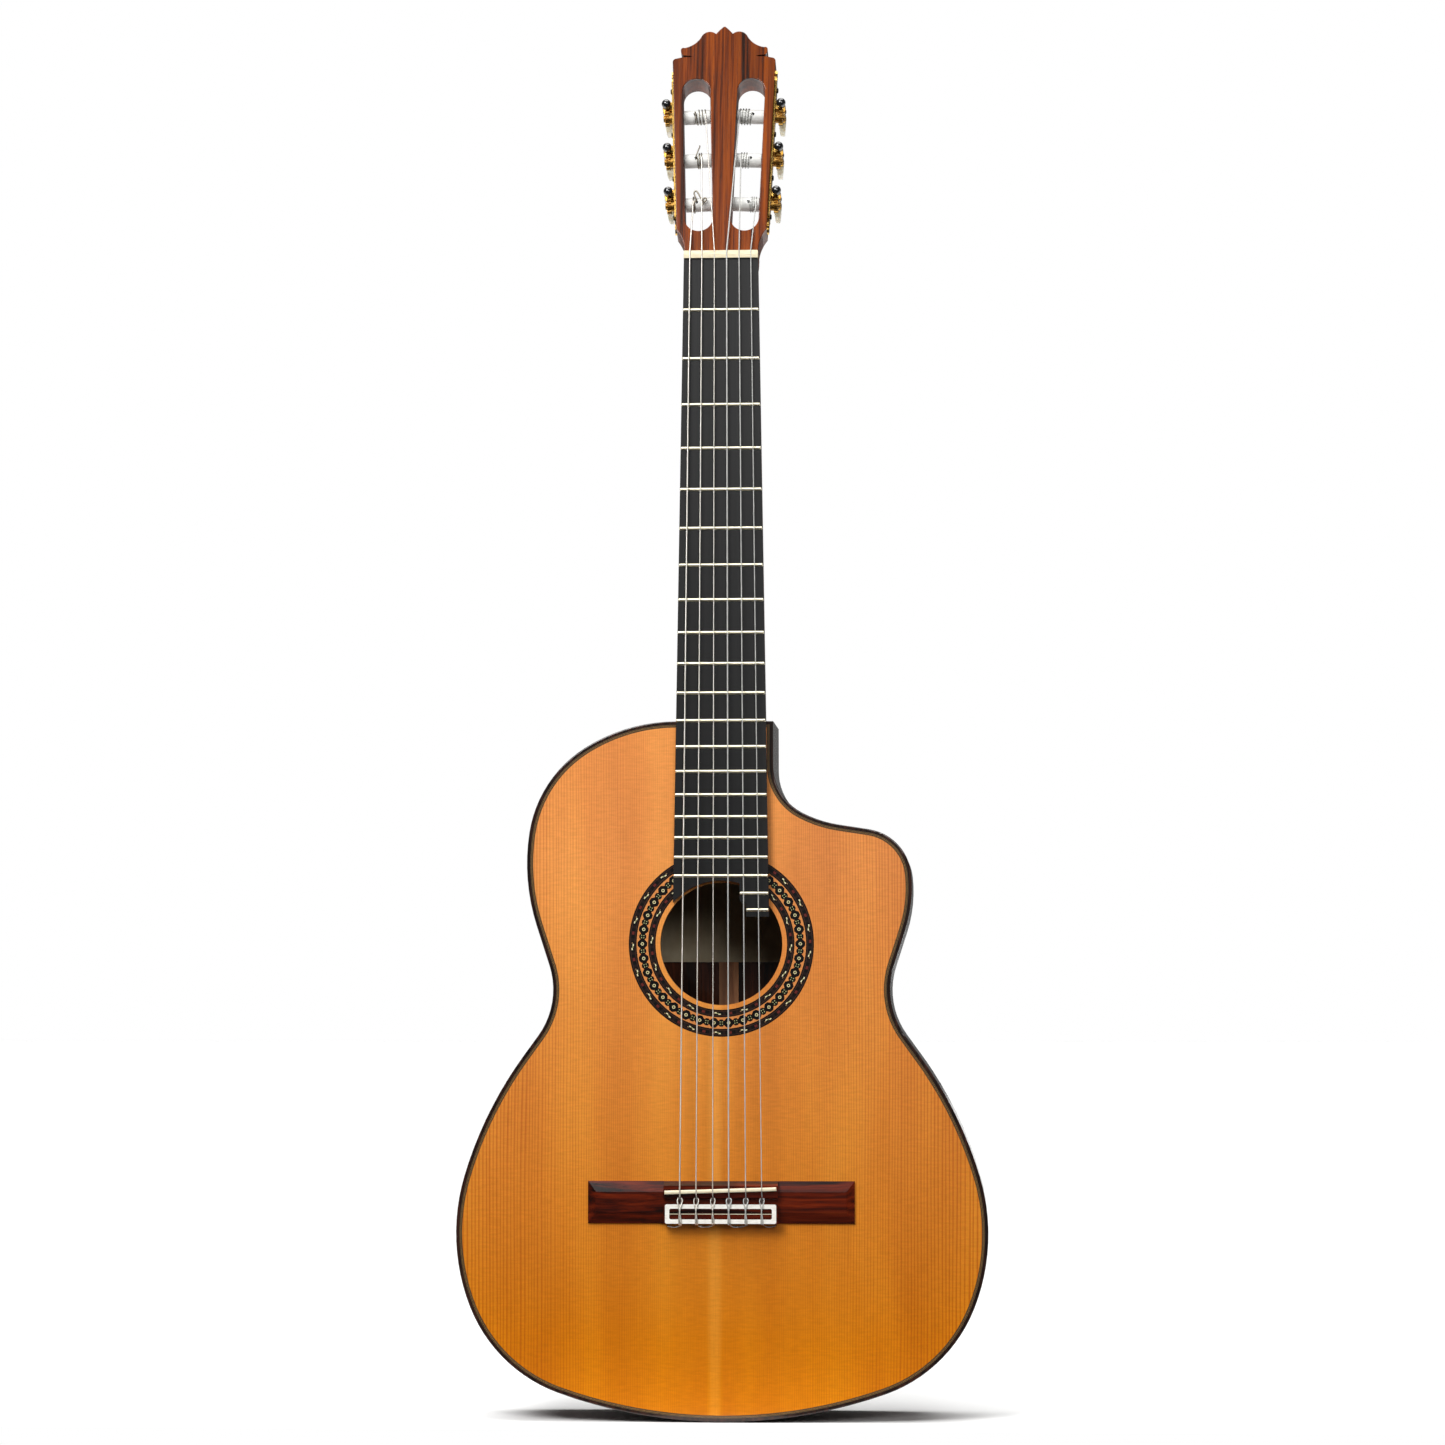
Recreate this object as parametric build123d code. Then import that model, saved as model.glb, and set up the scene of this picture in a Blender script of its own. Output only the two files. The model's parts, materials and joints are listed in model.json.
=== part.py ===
from build123d import *
import math

# A full-size classical guitar with a cutaway, in millimetres. It stands upright: +Z runs
# from the tail to the head, the soundboard faces -Y, and the treble side is +X.
# The origin is on the centre line, in the plane of the soundboard's face, at the front
# of the nut, where the strings begin to sound.

# ---- scale and strings -------------------------------------------------------------
SCALE = 650.0                       # nut to saddle
STRING_COUNT = 6
STRING_RADII = [0.55, 0.45, 0.375, 0.51, 0.41, 0.355]     # 6th (bass) to 1st (treble)
NUT_X = [-21.6, -13.2, -4.4, 4.2, 12.9, 21.1]
SADDLE_X = [-28.1, -16.8, -5.3, 5.8, 17.5, 28.6]
ROLLER_X = [-20.5, -15.2, -13.0, 11.4, 12.7, 24.0]

# ---- body --------------------------------------------------------------------------
TAIL_Z = -810.0
JOINT_Z = -325.0                    # neck joint, at the twelfth fret
BINDING = 2.0                       # width of the binding, and thickness of the ribs
BINDING_TALL = 6.0
EDGE_ROUND = 0.8                    # the body's front edge is rounded off
FLAT = 1e-4                         # closer than this counts as in a plane
PURFLING = 2.4
PURFLING_DEEP = 1.6
TOP_THICK = 2.6
BACK_THICK = 2.4
LINING = 6.0                        # how far the linings reach in from the ribs
LINING_TALL = 14.0
TAIL_DEPTH = 98.0                   # body depth at the tail and at the heel
HEEL_DEPTH = 92.0
DOME_RADIUS = 4600.0                # the back is part of a sphere
DEEPER_THAN_BODY = 130.0
WIDER_THAN_BODY = 400.0
MID_DEPTH = 60.0                    # between the two sets of linings
BLOCK_HALF = 30.0                   # half width of the neck block and the tail block
BLOCK_LONG = 18.0
HEEL_SLOT_HALF = 10.0               # the ribs stop here, in the heel
GRAFT_HALF = 7.0
STRIP_THICK = 2.0                   # the strip over the back's centre joint

# ---- braces ------------------------------------------------------------------------
BRACE_ENDS = BINDING + LINING       # braces stop at the linings
BACK_BAR_Z = [-400.0, -535.0, -620.0, -705.0]
BACK_BAR_WIDE = 8.0
BACK_BAR_TALL = 14.0
TOP_BAR_Z = [-426.0, -535.0]
TOP_BAR_WIDE = 7.0
TOP_BAR_TALL = 15.0
FAN_TOP_Z = -542.0
FAN_LOW_Z = -778.0
FAN_SPREAD = [-3, -2, -1, 0, 1, 2, 3]
FAN_TOP_STEP = 13.0                 # the fan struts' spacing at the soundhole and at the tail
FAN_LOW_STEP = 34.0
FAN_SHORTER = 5.0                   # times a strut's place squared: the outer ones stop short
FAN_WIDE = 5.0
FAN_TALL = 5.0

# The outline from the tail's centre up each side: bulges and hollows are (radius, degrees),
# and a side's fitted line gets the length that ends the side at the neck joint
LOWER_BOUT = [("bulge", 341.2, 19.4), ("bulge", 103.1, 48.8), ("bulge", 138.1, 38.3),
              ("bulge", 273.0, 19.6), ("line", 17.1), ("hollow", 54.3, 54.1)]
BASS_SHOULDER = [("fitted line",), ("bulge", 141.6, 26.7), ("bulge", 85.0, 49.1),
                 ("bulge", 119.5, 32.2)]
CUTAWAY = [("line", 25.7), ("bulge", 95.3, 24.1), ("bulge", 34.8, 75.1), ("line", 21.0),
           ("hollow", 83.3, 18.8), ("hollow", 37.3, 62.4), ("fitted line",)]

# ---- soundhole and rosette ---------------------------------------------------------
HOLE_Z = -480.2
HOLE_R = 42.5
ROSETTE_IN = 45.8
ROSETTE_OUT = 64.5
ROSETTE_DEEP = 1.0
DOUBLER_R = 60.0
DOUBLER_THICK = 1.5

# ---- neck and fingerboard ----------------------------------------------------------
NUT_HALF = 26.0
NUT_LONG = 5.4
NUT_TALL = 8.0
NUT_GROOVE = 0.25
WIDEN = (31.25 - 26.0) / 325.0      # half width gained for each millimetre down the neck
BOARD_THICK = 6.0
BOARD_END_Z = -461.5
BOARD_HOLE_R = 44.0                 # the board's end follows the soundhole
STEP_20_X = 13.0                    # the last two frets run on to these places
STEP_21_X = 17.5
FRET_COUNT = 21
FRET_WIDE = 2.4
FRET_TALL = 1.1
TANG_WIDE = 0.6
TANG_DEEP = 2.0
SHAFT_THICK_NUT = 15.5
SHAFT_THICK_HEEL = 17.8
SHAFT_CORNER = 13.0
SHAFT_TOP_Z = -8.0                  # the shaft's section is even from here down
# the heel's half width and its length up the neck at each depth behind the soundboard
HEEL = [(4.0, 30.8, 78.0), (17.0, 28.0, 62.0), (32.0, 23.5, 42.0), (55.0, 18.5, 31.5),
        (80.0, 15.0, 27.0), (108.0, 13.0, 25.5)]

# ---- headstock ---------------------------------------------------------------------
HEAD_TILT = 15.0
HEAD_THICK = 20.0
VENEER = 2.0
FLARE_LONG = 17.0                   # the neck spreads into the headstock over this length
FLARE_HALF = 33.0
FLARE_CORNER = 2.0
HEAD_EDGE_ROUND = 0.5
HEAD_Y = -3.0                       # the headstock's face meets the back of the nut here
HEAD_SIDE_TILT = 2.17               # its sides spread towards the top
SIDE_FOOT = (31.75, 17.0)           # where a side starts, across and up the face
SIDE_TOP = (36.7, 147.8)
SLOT_WIDE = 19.7
SLOT_LOW = (16.2, 25.9)             # centres of a slot's round ends
SLOT_HIGH = (19.55, 125.1)

# ---- tuning machines ---------------------------------------------------------------
ROLLER_MID_S = 74.6                 # the middle roller's place up the headstock
ROLLER_STEP = 34.3
ROLLER_DEPTH = 10.5
ROLLER_R = 5.0
SPINDLE_R = 3.0
RUN_GAP = 0.05                      # radial clearance of a shaft in its bore
ROLLER_NEAR = -6.8                  # ends of the white roller, from the headstock's side
ROLLER_FAR = -25.5
SPINDLE_END = -30.6
STRING_HOLE_U = -14.4
STRING_HOLE_R = 0.8
PLATE_THICK = 1.3
PLATE_HALF = 7.5
PLATE_LOW = -46.0                   # the plate's square part, along the headstock's side
PLATE_HIGH = 60.0
PLATE_TIP = 10.5
PLATE_NECK = 2.6                    # half width of the ornamental ends' necks
WHEEL_SCREW_R = 2.4
SCREW_V = [-43.6, -13.3, 21.0, 55.5]
SCREW_R = 1.0
SCREW_LONG = 5.0
SCREW_HEAD_R = 1.9
SCREW_HEAD_TALL = 1.2
SCREW_HEAD_ROUND = 0.7
TEETH = 16
LEAD = 2.0                          # one worm turn moves the wheel by one tooth
WHEEL_PITCH_R = TEETH * LEAD / (2 * math.pi)
WHEEL_TIP_R = WHEEL_PITCH_R + 0.50
WHEEL_ROOT_R = WHEEL_PITCH_R - 0.80
WHEEL_U = (3.8, 6.8)
WORM_PITCH_R = 2.5
WORM_TIP_R = 3.05
WORM_CORE_R = 1.8
WORM_U = 5.3
WORM_V = WHEEL_PITCH_R + WORM_PITCH_R
THREAD_TURNS = 2.5
THREAD_HALF = 0.36                  # half thicknesses on the pitch lines
TOOTH_HALF = 0.40
FLANK = math.tan(math.radians(20))
SHAFT_R = 1.5
LUG_IN = 3.7                        # the worm's two bearing lugs, from its middle
LUG_OUT = 5.1
LUG_HALF = 2.9
BALL_R = 3.3
BALL_W = 8.5
BALL_NECK = 0.5                     # the ball's neck is this much thicker than the shaft
COLLAR_R = 3.3
COLLAR_END = -7.0
FERRULE_R = 2.2
FERRULE_END = -20.0
RING_COUNT = 4
RING_R = 2.75
RING_FIRST = -9.2                   # middle of the ring nearest the collar
RING_STEP = 3.1
RING_HALF = 0.8
BUTTON_END = -36.5
SHAFT_IN_BUTTON = 6.0
BUTTON_ROUND = 0.8
BUTTON_FOOT_HALF = 2.7
BUTTON_EDGE_HALF = 1.2

# ---- bridge ------------------------------------------------------------------------
BRIDGE_HALF = 92.5
BRIDGE_FRONT = -644.3
BRIDGE_BACK = -673.4
BRIDGE_MID_HALF = 39.5
WING_TALL = 3.9
WING_EDGE = 1.3                     # height of the wings' thin edges
WING_SLOPE = 7.5                    # how far in from an edge the wing reaches its full height
FRONT_STEP = -8.5                   # top of the rib that holds the saddle
TROUGH = -3.6                       # bottom of the gap between saddle and tie block
BLOCK_TALL = 9.0
SADDLE_Z = -650.75
SADDLE_HALF = 38.75
SADDLE_THICK = 2.6
SADDLE_TOP = -12.0
SADDLE_FOOT = -4.5
SADDLE_SLANT = 1.85
SADDLE_ROUND = 0.9
TIE_FRONT = -660.1
TIE_HOLE_Y = -5.0
FRAME_HALF = 38.5
FRAME_BAR = 3.0
FRAME_THICK = 1.2


# ---- helpers -----------------------------------------------------------------------
def box(x0, x1, y0, y1, z0, z1):
    """A block between two corners."""
    centre = ((x0 + x1) / 2, (y0 + y1) / 2, (z0 + z1) / 2)
    return Pos(*centre) * Box(abs(x1 - x0), abs(y1 - y0), abs(z1 - z0))


def slab(face, y0, y1):
    """A face drawn in (x, z), made solid from depth y0 to depth y1."""
    return extrude(Plane.XZ.offset(-y0) * face, amount=-(y1 - y0))


def along_x(points, x0, x1):
    """An outline drawn in (y, z), made solid from x0 to x1."""
    face = make_face(Polyline(*points, close=True))
    return extrude(Plane.YZ.offset(x0) * face, amount=x1 - x0)


def rod(start, end, radius):
    """A round bar between two points."""
    a = Vector(*start)
    b = Vector(*end)
    return extrude(Plane(origin=a, z_dir=b - a) * Circle(radius), amount=(b - a).length)


def save(name, shape):
    """Write one node."""
    export_step(shape, f"parts/{name}.step")


def solids_of(*shapes):
    """Several separate solids held in one node."""
    found = []
    for shape in shapes:
        found += shape.solids()
    return Compound(found)


# ---- the body's outline ------------------------------------------------------------
def walk(segments, side, inset, fitted):
    """The edges up one side of the body, drawn in (x, z) and moved in by the inset."""
    place = Vector(0, TAIL_Z + inset)
    heading = 0.0
    edges = []
    for kind, *sizes in segments:
        ahead = Vector(side * math.cos(math.radians(heading)), math.sin(math.radians(heading)))
        if kind == "fitted line":
            edge = Line(place, place + ahead * fitted)
        elif kind == "line":
            edge = Line(place, place + ahead * sizes[0])
        else:
            radius, turn = sizes
            sign = 1 if kind == "bulge" else -1
            edge = JernArc(start=place, tangent=ahead, radius=radius - sign * inset,
                           arc_size=side * sign * turn)
            heading += sign * turn
        edges.append(edge)
        place = edge @ 1
    return edges, place


def fitted_length(segments):
    """The length of a side's fitted line that brings its end to the neck joint."""
    first, second = 20.0, 40.0
    first_z = walk(segments, 1, 0.0, first)[1].Y
    second_z = walk(segments, 1, 0.0, second)[1].Y
    return first + (second - first) * (JOINT_Z - first_z) / (second_z - first_z)


TREBLE_FIT = fitted_length(LOWER_BOUT + CUTAWAY)
BASS_FIT = fitted_length(LOWER_BOUT + BASS_SHOULDER)


def outline(inset=0.0):
    """The body's plan, moved in by the inset, as a face drawn in (x, z)."""
    treble, treble_end = walk(LOWER_BOUT + CUTAWAY, 1, inset, TREBLE_FIT - inset)
    bass, bass_end = walk(LOWER_BOUT + BASS_SHOULDER, -1, inset, BASS_FIT)
    return make_face(treble + bass + [Line(treble_end, bass_end)])


def ring(outer, inner):
    """The band between two insets of the plan."""
    return outline(outer) - outline(inner)


def dome(under=0.0):
    """The ball whose surface is the back, or a layer under it."""
    chord = Vector(HEEL_DEPTH - TAIL_DEPTH, JOINT_Z - TAIL_Z)
    middle = Vector((HEEL_DEPTH + TAIL_DEPTH) / 2, (JOINT_Z + TAIL_Z) / 2)
    drop = math.sqrt(DOME_RADIUS ** 2 - (chord.length / 2) ** 2)
    normal = Vector(-chord.Y, chord.X).normalized()
    centre = middle + normal * drop
    return Pos(0, centre.X, centre.Y) * Sphere(DOME_RADIUS - under)


def half_side(side):
    """Everything on one side of the centre line, for splitting bookmatched pieces."""
    return box(0, side * WIDER_THAN_BODY, -MID_DEPTH, DEEPER_THAN_BODY, TAIL_Z - 20, -TAIL_Z)


def board_half(z):
    """The neck's and fingerboard's half width at a height."""
    return NUT_HALF - WIDEN * z


def fret_z(number):
    """A fret's place down the scale."""
    return -SCALE * (1 - 2 ** (-number / 12))


# ---- soundboard, rosette, edges ----------------------------------------------------
def neck_web():
    """The part of the heel that passes through the ribs."""
    return box(-HEEL_SLOT_HALF, HEEL_SLOT_HALF, 0, DEEPER_THAN_BODY, JOINT_Z - BINDING, JOINT_Z)


def annulus(outer, inner):
    """A flat ring around the soundhole, drawn in (x, z)."""
    return Pos(0, HOLE_Z) * (Circle(outer) - Circle(inner))


def make_top():
    edge = BINDING + PURFLING
    top = slab(outline(edge), 0, PURFLING_DEEP)
    top += slab(outline(BINDING), PURFLING_DEEP, TOP_THICK)
    top -= slab(Pos(0, HOLE_Z) * Circle(HOLE_R), -1, TOP_THICK + 1)
    top -= slab(annulus(ROSETTE_OUT, ROSETTE_IN), -1, ROSETTE_DEEP)
    save("soundboard_bass", top & half_side(-1))
    save("soundboard_treble", top & half_side(1))
    save("rosette", slab(annulus(ROSETTE_OUT, ROSETTE_IN), 0, ROSETTE_DEEP))
    save("purfling_top", slab(ring(BINDING, edge), 0, PURFLING_DEEP))
    binding = slab(ring(0, BINDING), 0, BINDING_TALL) - neck_web()
    well_inside = outline(BINDING / 2).faces()[0]
    rim = [edge for edge in binding.edges() if abs(edge.center().Y) < FLAT
           and not well_inside.is_inside(Vector((edge @ 0.5).X, (edge @ 0.5).Z, 0))]
    save("binding_top", fillet(rim, EDGE_ROUND))


def make_back():
    ball = dome()
    back = (slab(outline(BINDING), MID_DEPTH, DEEPER_THAN_BODY) & ball) - dome(BACK_THICK)
    save("back_bass", back & half_side(-1))
    save("back_treble", back & half_side(1))
    binding = (slab(ring(0, BINDING), MID_DEPTH, DEEPER_THAN_BODY) & ball) - dome(BINDING_TALL)
    save("binding_back", binding - neck_web())


def make_ribs():
    wall = slab(ring(0, BINDING), BINDING_TALL, DEEPER_THAN_BODY) & dome(BINDING_TALL)
    graft_zone = box(-GRAFT_HALF, GRAFT_HALF, 0, DEEPER_THAN_BODY, TAIL_Z - 5, TAIL_Z + 20)
    save("tail_graft", wall & graft_zone)
    wall = wall - graft_zone - neck_web()
    save("rib_bass", wall & half_side(-1))
    save("rib_treble", wall & half_side(1))


# ---- inside the body ---------------------------------------------------------------
def neck_block():
    """The foot of the neck, inside the body."""
    low = JOINT_Z - BINDING - BLOCK_LONG
    return box(-BLOCK_HALF, BLOCK_HALF, TOP_THICK, DEEPER_THAN_BODY, low, JOINT_Z - BINDING)


def tail_block_solid():
    zone = box(-BLOCK_HALF, BLOCK_HALF, TOP_THICK, DEEPER_THAN_BODY, TAIL_Z - 5, TAIL_Z + BLOCK_LONG)
    inside = slab(outline(BINDING), TOP_THICK, DEEPER_THAN_BODY)
    return zone & inside & dome(BACK_THICK)


def make_linings():
    band = ring(BINDING, BINDING + LINING)
    front = slab(band, TOP_THICK, TOP_THICK + LINING_TALL)
    rear = slab(band, MID_DEPTH, DEEPER_THAN_BODY) & dome(BACK_THICK)
    rear -= dome(BACK_THICK + LINING_TALL)
    blocks = neck_block() + tail_block_solid()
    save("linings", solids_of(front - blocks, rear - blocks))
    save("tail_block", tail_block_solid())


def make_braces():
    inside_top = slab(outline(BRACE_ENDS), TOP_THICK, DEEPER_THAN_BODY)
    bars = []
    for z in TOP_BAR_Z:
        half = TOP_BAR_WIDE / 2
        bar = box(-WIDER_THAN_BODY, WIDER_THAN_BODY, TOP_THICK, TOP_THICK + TOP_BAR_TALL,
                  z - half, z + half)
        bars.append(bar & inside_top)
    for place in FAN_SPREAD:
        high = Vector(place * FAN_TOP_STEP, FAN_TOP_Z)
        low = Vector(place * FAN_LOW_STEP, FAN_LOW_Z + FAN_SHORTER * place ** 2)
        ahead = (low - high).normalized()
        across = Vector(-ahead.Y, ahead.X) * (FAN_WIDE / 2)
        strip = make_face(Polyline(high + across, low + across, low - across, high - across, close=True))
        bars.append(slab(strip, TOP_THICK, TOP_THICK + FAN_TALL))
    save("soundboard_braces", solids_of(*bars))
    doubler = slab(annulus(DOUBLER_R, HOLE_R), TOP_THICK, TOP_THICK + DOUBLER_THICK)
    between = box(-WIDER_THAN_BODY, WIDER_THAN_BODY, 0, 2 * TOP_BAR_TALL,
                  TOP_BAR_Z[1] + TOP_BAR_WIDE / 2, TOP_BAR_Z[0] - TOP_BAR_WIDE / 2)
    save("soundhole_doubler", doubler & between)

    under_back = dome(BACK_THICK)
    strip = box(-GRAFT_HALF, GRAFT_HALF, MID_DEPTH, DEEPER_THAN_BODY,
                TAIL_Z + BLOCK_LONG, JOINT_Z - BINDING - BLOCK_LONG)
    strip = (strip & under_back) - dome(BACK_THICK + STRIP_THICK)
    back_bars = []
    for z in BACK_BAR_Z:
        half = BACK_BAR_WIDE / 2
        zone = slab(outline(BRACE_ENDS), MID_DEPTH, DEEPER_THAN_BODY)
        zone &= box(-WIDER_THAN_BODY, WIDER_THAN_BODY, MID_DEPTH, DEEPER_THAN_BODY, z - half, z + half)
        bar = (zone & under_back) - dome(BACK_THICK + BACK_BAR_TALL)
        strip -= bar
        back_bars.append(bar)
    save("back_braces", solids_of(*back_bars))
    save("back_centre_strip", solids_of(strip))


# ---- headstock geometry ------------------------------------------------------------
HEAD = Plane(origin=(0, HEAD_Y, NUT_LONG), x_dir=(1, 0, 0),
             z_dir=(0, -math.cos(math.radians(HEAD_TILT)), math.sin(math.radians(HEAD_TILT))))


def head_point(x, s, w):
    """A point given across, up and out of the headstock's face."""
    return HEAD.from_local_coords(Vector(x, s, w))


def head_outline():
    """The headstock's plan: a flared foot, straight sides, shoulders and a lobed crest."""
    half = [
        Line((0, -1), (NUT_HALF, -1)),
        ThreePointArc((NUT_HALF, -1), (27.6, 9.5), SIDE_FOOT),
        Line(SIDE_FOOT, SIDE_TOP),
        ThreePointArc(SIDE_TOP, (36.0, 150.2), (34.0, 151.1)),
        ThreePointArc((34.0, 151.1), (29.5, 152.0), (24.8, 152.1)),
        Line((24.8, 152.1), (22.6, 152.9)),
        Line((22.6, 152.9), (29.6, 153.8)),
        ThreePointArc((29.6, 153.8), (30.7, 155.6), (31.0, 158.0)),
        ThreePointArc((31.0, 158.0), (30.4, 159.2), (29.0, 159.6)),
        ThreePointArc((29.0, 159.6), (21.6, 162.6), (16.4, 168.6)),
        ThreePointArc((16.4, 168.6), (11.6, 172.3), (6.0, 170.6)),
        ThreePointArc((6.0, 170.6), (2.6, 174.4), (0.9, 176.0)),
        ThreePointArc((0.9, 176.0), (0.45, 176.25), (0, 176.3)),
    ]
    mirrored = [edge.mirror(Plane.YZ) for edge in half]
    return make_face(half + mirrored)


def slot_plan():
    """The two long slots that the strings go down into."""
    plan = Sketch()
    for side in (1, -1):
        low = Vector(side * SLOT_LOW[0], SLOT_LOW[1])
        high = Vector(side * SLOT_HIGH[0], SLOT_HIGH[1])
        middle = (low + high) * 0.5
        turn = math.degrees(math.atan2(high.Y - low.Y, high.X - low.X))
        slot = SlotCenterToCenter((high - low).length, SLOT_WIDE)
        plan += Pos(middle.X, middle.Y) * Rot(0, 0, turn) * slot
    return plan


def head_slab(plan, near, far):
    """A plan of the headstock made solid between two depths behind its face."""
    return extrude(HEAD.offset(-near) * plan, amount=-(far - near))


def neck_section(half, thick, corner):
    """A neck's cross-section: flat in front, rounded behind, drawn in (x, -y)."""
    points = [(-half, 0), (half, 0), (half, -thick), (-half, -thick)]
    face = make_face(Polyline(*points, close=True))
    rounded = [v for v in face.vertices() if v.Y < -thick / 2]
    return fillet(rounded, corner)


# ---- tuning machines: one frame on each side ---------------------------------------
# u runs out from the headstock's side, v runs up along it, w points out of its face
def side_plane():
    tilt = math.radians(HEAD_SIDE_TILT)
    across = SIDE_FOOT[0] + (ROLLER_MID_S - SIDE_FOOT[1]) * math.tan(tilt)
    origin = head_point(across, ROLLER_MID_S, -ROLLER_DEPTH)
    outward = head_point(across + math.cos(tilt), ROLLER_MID_S - math.sin(tilt), -ROLLER_DEPTH) - origin
    return Plane(origin=origin, x_dir=outward, z_dir=HEAD.z_dir)


SIDE = side_plane()


def place_on_side(shape, side, v=0.0):
    """Move a piece from the treble side's frame into the guitar, mirrored for the bass."""
    placed = SIDE.location * (Pos(0, v, 0) * shape)
    return placed if side > 0 else placed.mirror(Plane.YZ)


def machines():
    """Each string's side, place along the headstock and number, 1st string to 6th."""
    for number in range(1, STRING_COUNT + 1):
        side = 1 if number <= 3 else -1
        rank = number if number <= 3 else 7 - number
        yield number, side, (rank - 2) * ROLLER_STEP


def across_u(radius, u0, u1):
    """A cylinder along the roller's axis."""
    return rod((u0, 0, 0), (u1, 0, 0), radius)


def along_w(radius, w0, w1):
    """A cylinder along the worm's axis."""
    return rod((WORM_U, WORM_V, w0), (WORM_U, WORM_V, w1), radius)


def string_roller():
    roller = across_u(ROLLER_R, ROLLER_FAR, ROLLER_NEAR)
    roller += across_u(SPINDLE_R, SPINDLE_END, WHEEL_U[1])
    hole = rod((STRING_HOLE_U, 0, -ROLLER_R - 1), (STRING_HOLE_U, 0, ROLLER_R + 1), STRING_HOLE_R)
    return roller - hole


def tuner_wheel():
    """A wheel whose teeth lean to match the worm's thread, with its screw."""
    wide = WHEEL_U[1] - WHEEL_U[0]
    middle = (WHEEL_U[0] + WHEEL_U[1]) / 2
    wheel = across_u(WHEEL_ROOT_R + 0.05, *WHEEL_U)
    wheel += across_u(SPINDLE_R + 1.0, PLATE_THICK + 0.3, WHEEL_U[0])
    root = TOOTH_HALF + (WHEEL_PITCH_R - WHEEL_ROOT_R) * FLANK
    tip = TOOTH_HALF - (WHEEL_TIP_R - WHEEL_PITCH_R) * FLANK
    lean = LEAD / (2 * math.pi * WORM_PITCH_R)
    tooth_face = make_face(Polyline((WHEEL_ROOT_R - 0.4, -root), (WHEEL_ROOT_R, -root), (WHEEL_TIP_R, -tip),
                                    (WHEEL_TIP_R, tip), (WHEEL_ROOT_R, root), (WHEEL_ROOT_R - 0.4, root),
                                    close=True))
    start = Plane(origin=(WHEEL_U[0], 0, -lean * wide / 2), x_dir=(0, 1, 0), z_dir=(1, 0, 0))
    tooth = extrude(start * tooth_face, amount=wide, dir=Vector(1, 0, lean))
    turn_axis = Axis((middle, 0, 0), (1, 0, 0))
    for index in range(TEETH):
        wheel += tooth.rotate(turn_axis, index * 360 / TEETH)
    wheel -= across_u(SPINDLE_R, 0, WHEEL_U[1] + 1)
    head = across_u(WHEEL_SCREW_R, WHEEL_U[1], WHEEL_U[1] + 1.1)
    head -= box(WHEEL_U[1] + 0.6, WHEEL_U[1] + 2, -3, 3, -0.35, 0.35)
    return solids_of(wheel, head)


def tuner_worm():
    """A worm, its shaft and the ringed ferrule behind it, with a ball on the front end."""
    shaft = along_w(SHAFT_R, FERRULE_END - SHAFT_IN_BUTTON, BALL_W)
    shaft += along_w(WORM_CORE_R, -LUG_IN + 0.3, LUG_IN - 0.3)
    tip = THREAD_HALF - (WORM_TIP_R - WORM_PITCH_R) * FLANK
    root = THREAD_HALF + (WORM_PITCH_R - WORM_CORE_R) * FLANK
    low = -THREAD_TURNS * LEAD / 2
    path = Helix(pitch=LEAD, height=THREAD_TURNS * LEAD, radius=WORM_PITCH_R, center=(0, 0, low))
    profile = make_face(Polyline((WORM_CORE_R - 0.25, -root), (WORM_TIP_R, -tip),
                                 (WORM_TIP_R, tip), (WORM_CORE_R - 0.25, root), close=True))
    start = Plane(origin=(0, 0, low), x_dir=(1, 0, 0), z_dir=(0, -1, 0))
    thread = sweep(start * profile, path=path, is_frenet=True)
    # started here, the thread faces the wheel with the middle of a groove
    worm = shaft + Pos(WORM_U, WORM_V, 0) * thread
    worm += along_w(COLLAR_R, COLLAR_END, -LUG_OUT - 0.4)
    worm += along_w(FERRULE_R, FERRULE_END, COLLAR_END)
    for index in range(RING_COUNT):
        middle = RING_FIRST - index * RING_STEP
        worm += along_w(RING_R, middle - RING_HALF, middle + RING_HALF)
    ball = Pos(WORM_U, WORM_V, BALL_W) * Sphere(BALL_R)
    ball += along_w(SHAFT_R + BALL_NECK, LUG_OUT + 0.3, BALL_W - 2)
    ball -= along_w(SHAFT_R, LUG_OUT, BALL_W)
    return solids_of(worm, ball)


def tuner_button():
    """A flat oval button, thick where it is fixed and thin at its far edge."""
    long = FERRULE_END - BUTTON_END
    plan = [
        Line((0, 0), (BUTTON_FOOT_HALF, 0)),
        ThreePointArc((BUTTON_FOOT_HALF, 0), (4.6, 2.6), (6.5, long * 0.55)),
        ThreePointArc((6.5, long * 0.55), (4.8, long * 0.9), (0, long)),
    ]
    face = make_face(plan + [edge.mirror(Plane.YZ) for edge in plan])
    flat = Plane(origin=(WORM_U - 4, WORM_V, FERRULE_END), x_dir=(0, -1, 0), z_dir=(1, 0, 0))
    button = extrude(flat * face, amount=8)
    wedge = make_face(Polyline((-BUTTON_FOOT_HALF, 0), (BUTTON_FOOT_HALF, 0), (BUTTON_EDGE_HALF, long),
                               (-BUTTON_EDGE_HALF, long), close=True))
    side = Plane(origin=(WORM_U, WORM_V + 9, FERRULE_END), x_dir=(1, 0, 0), z_dir=(0, 1, 0))
    button &= extrude(side * wedge, amount=-18)
    rim = [edge for edge in button.edges() if edge.center().Z < FERRULE_END - 0.5]
    return fillet(rim, BUTTON_ROUND) - along_w(SHAFT_R, FERRULE_END - SHAFT_IN_BUTTON, FERRULE_END + 1)


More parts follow.
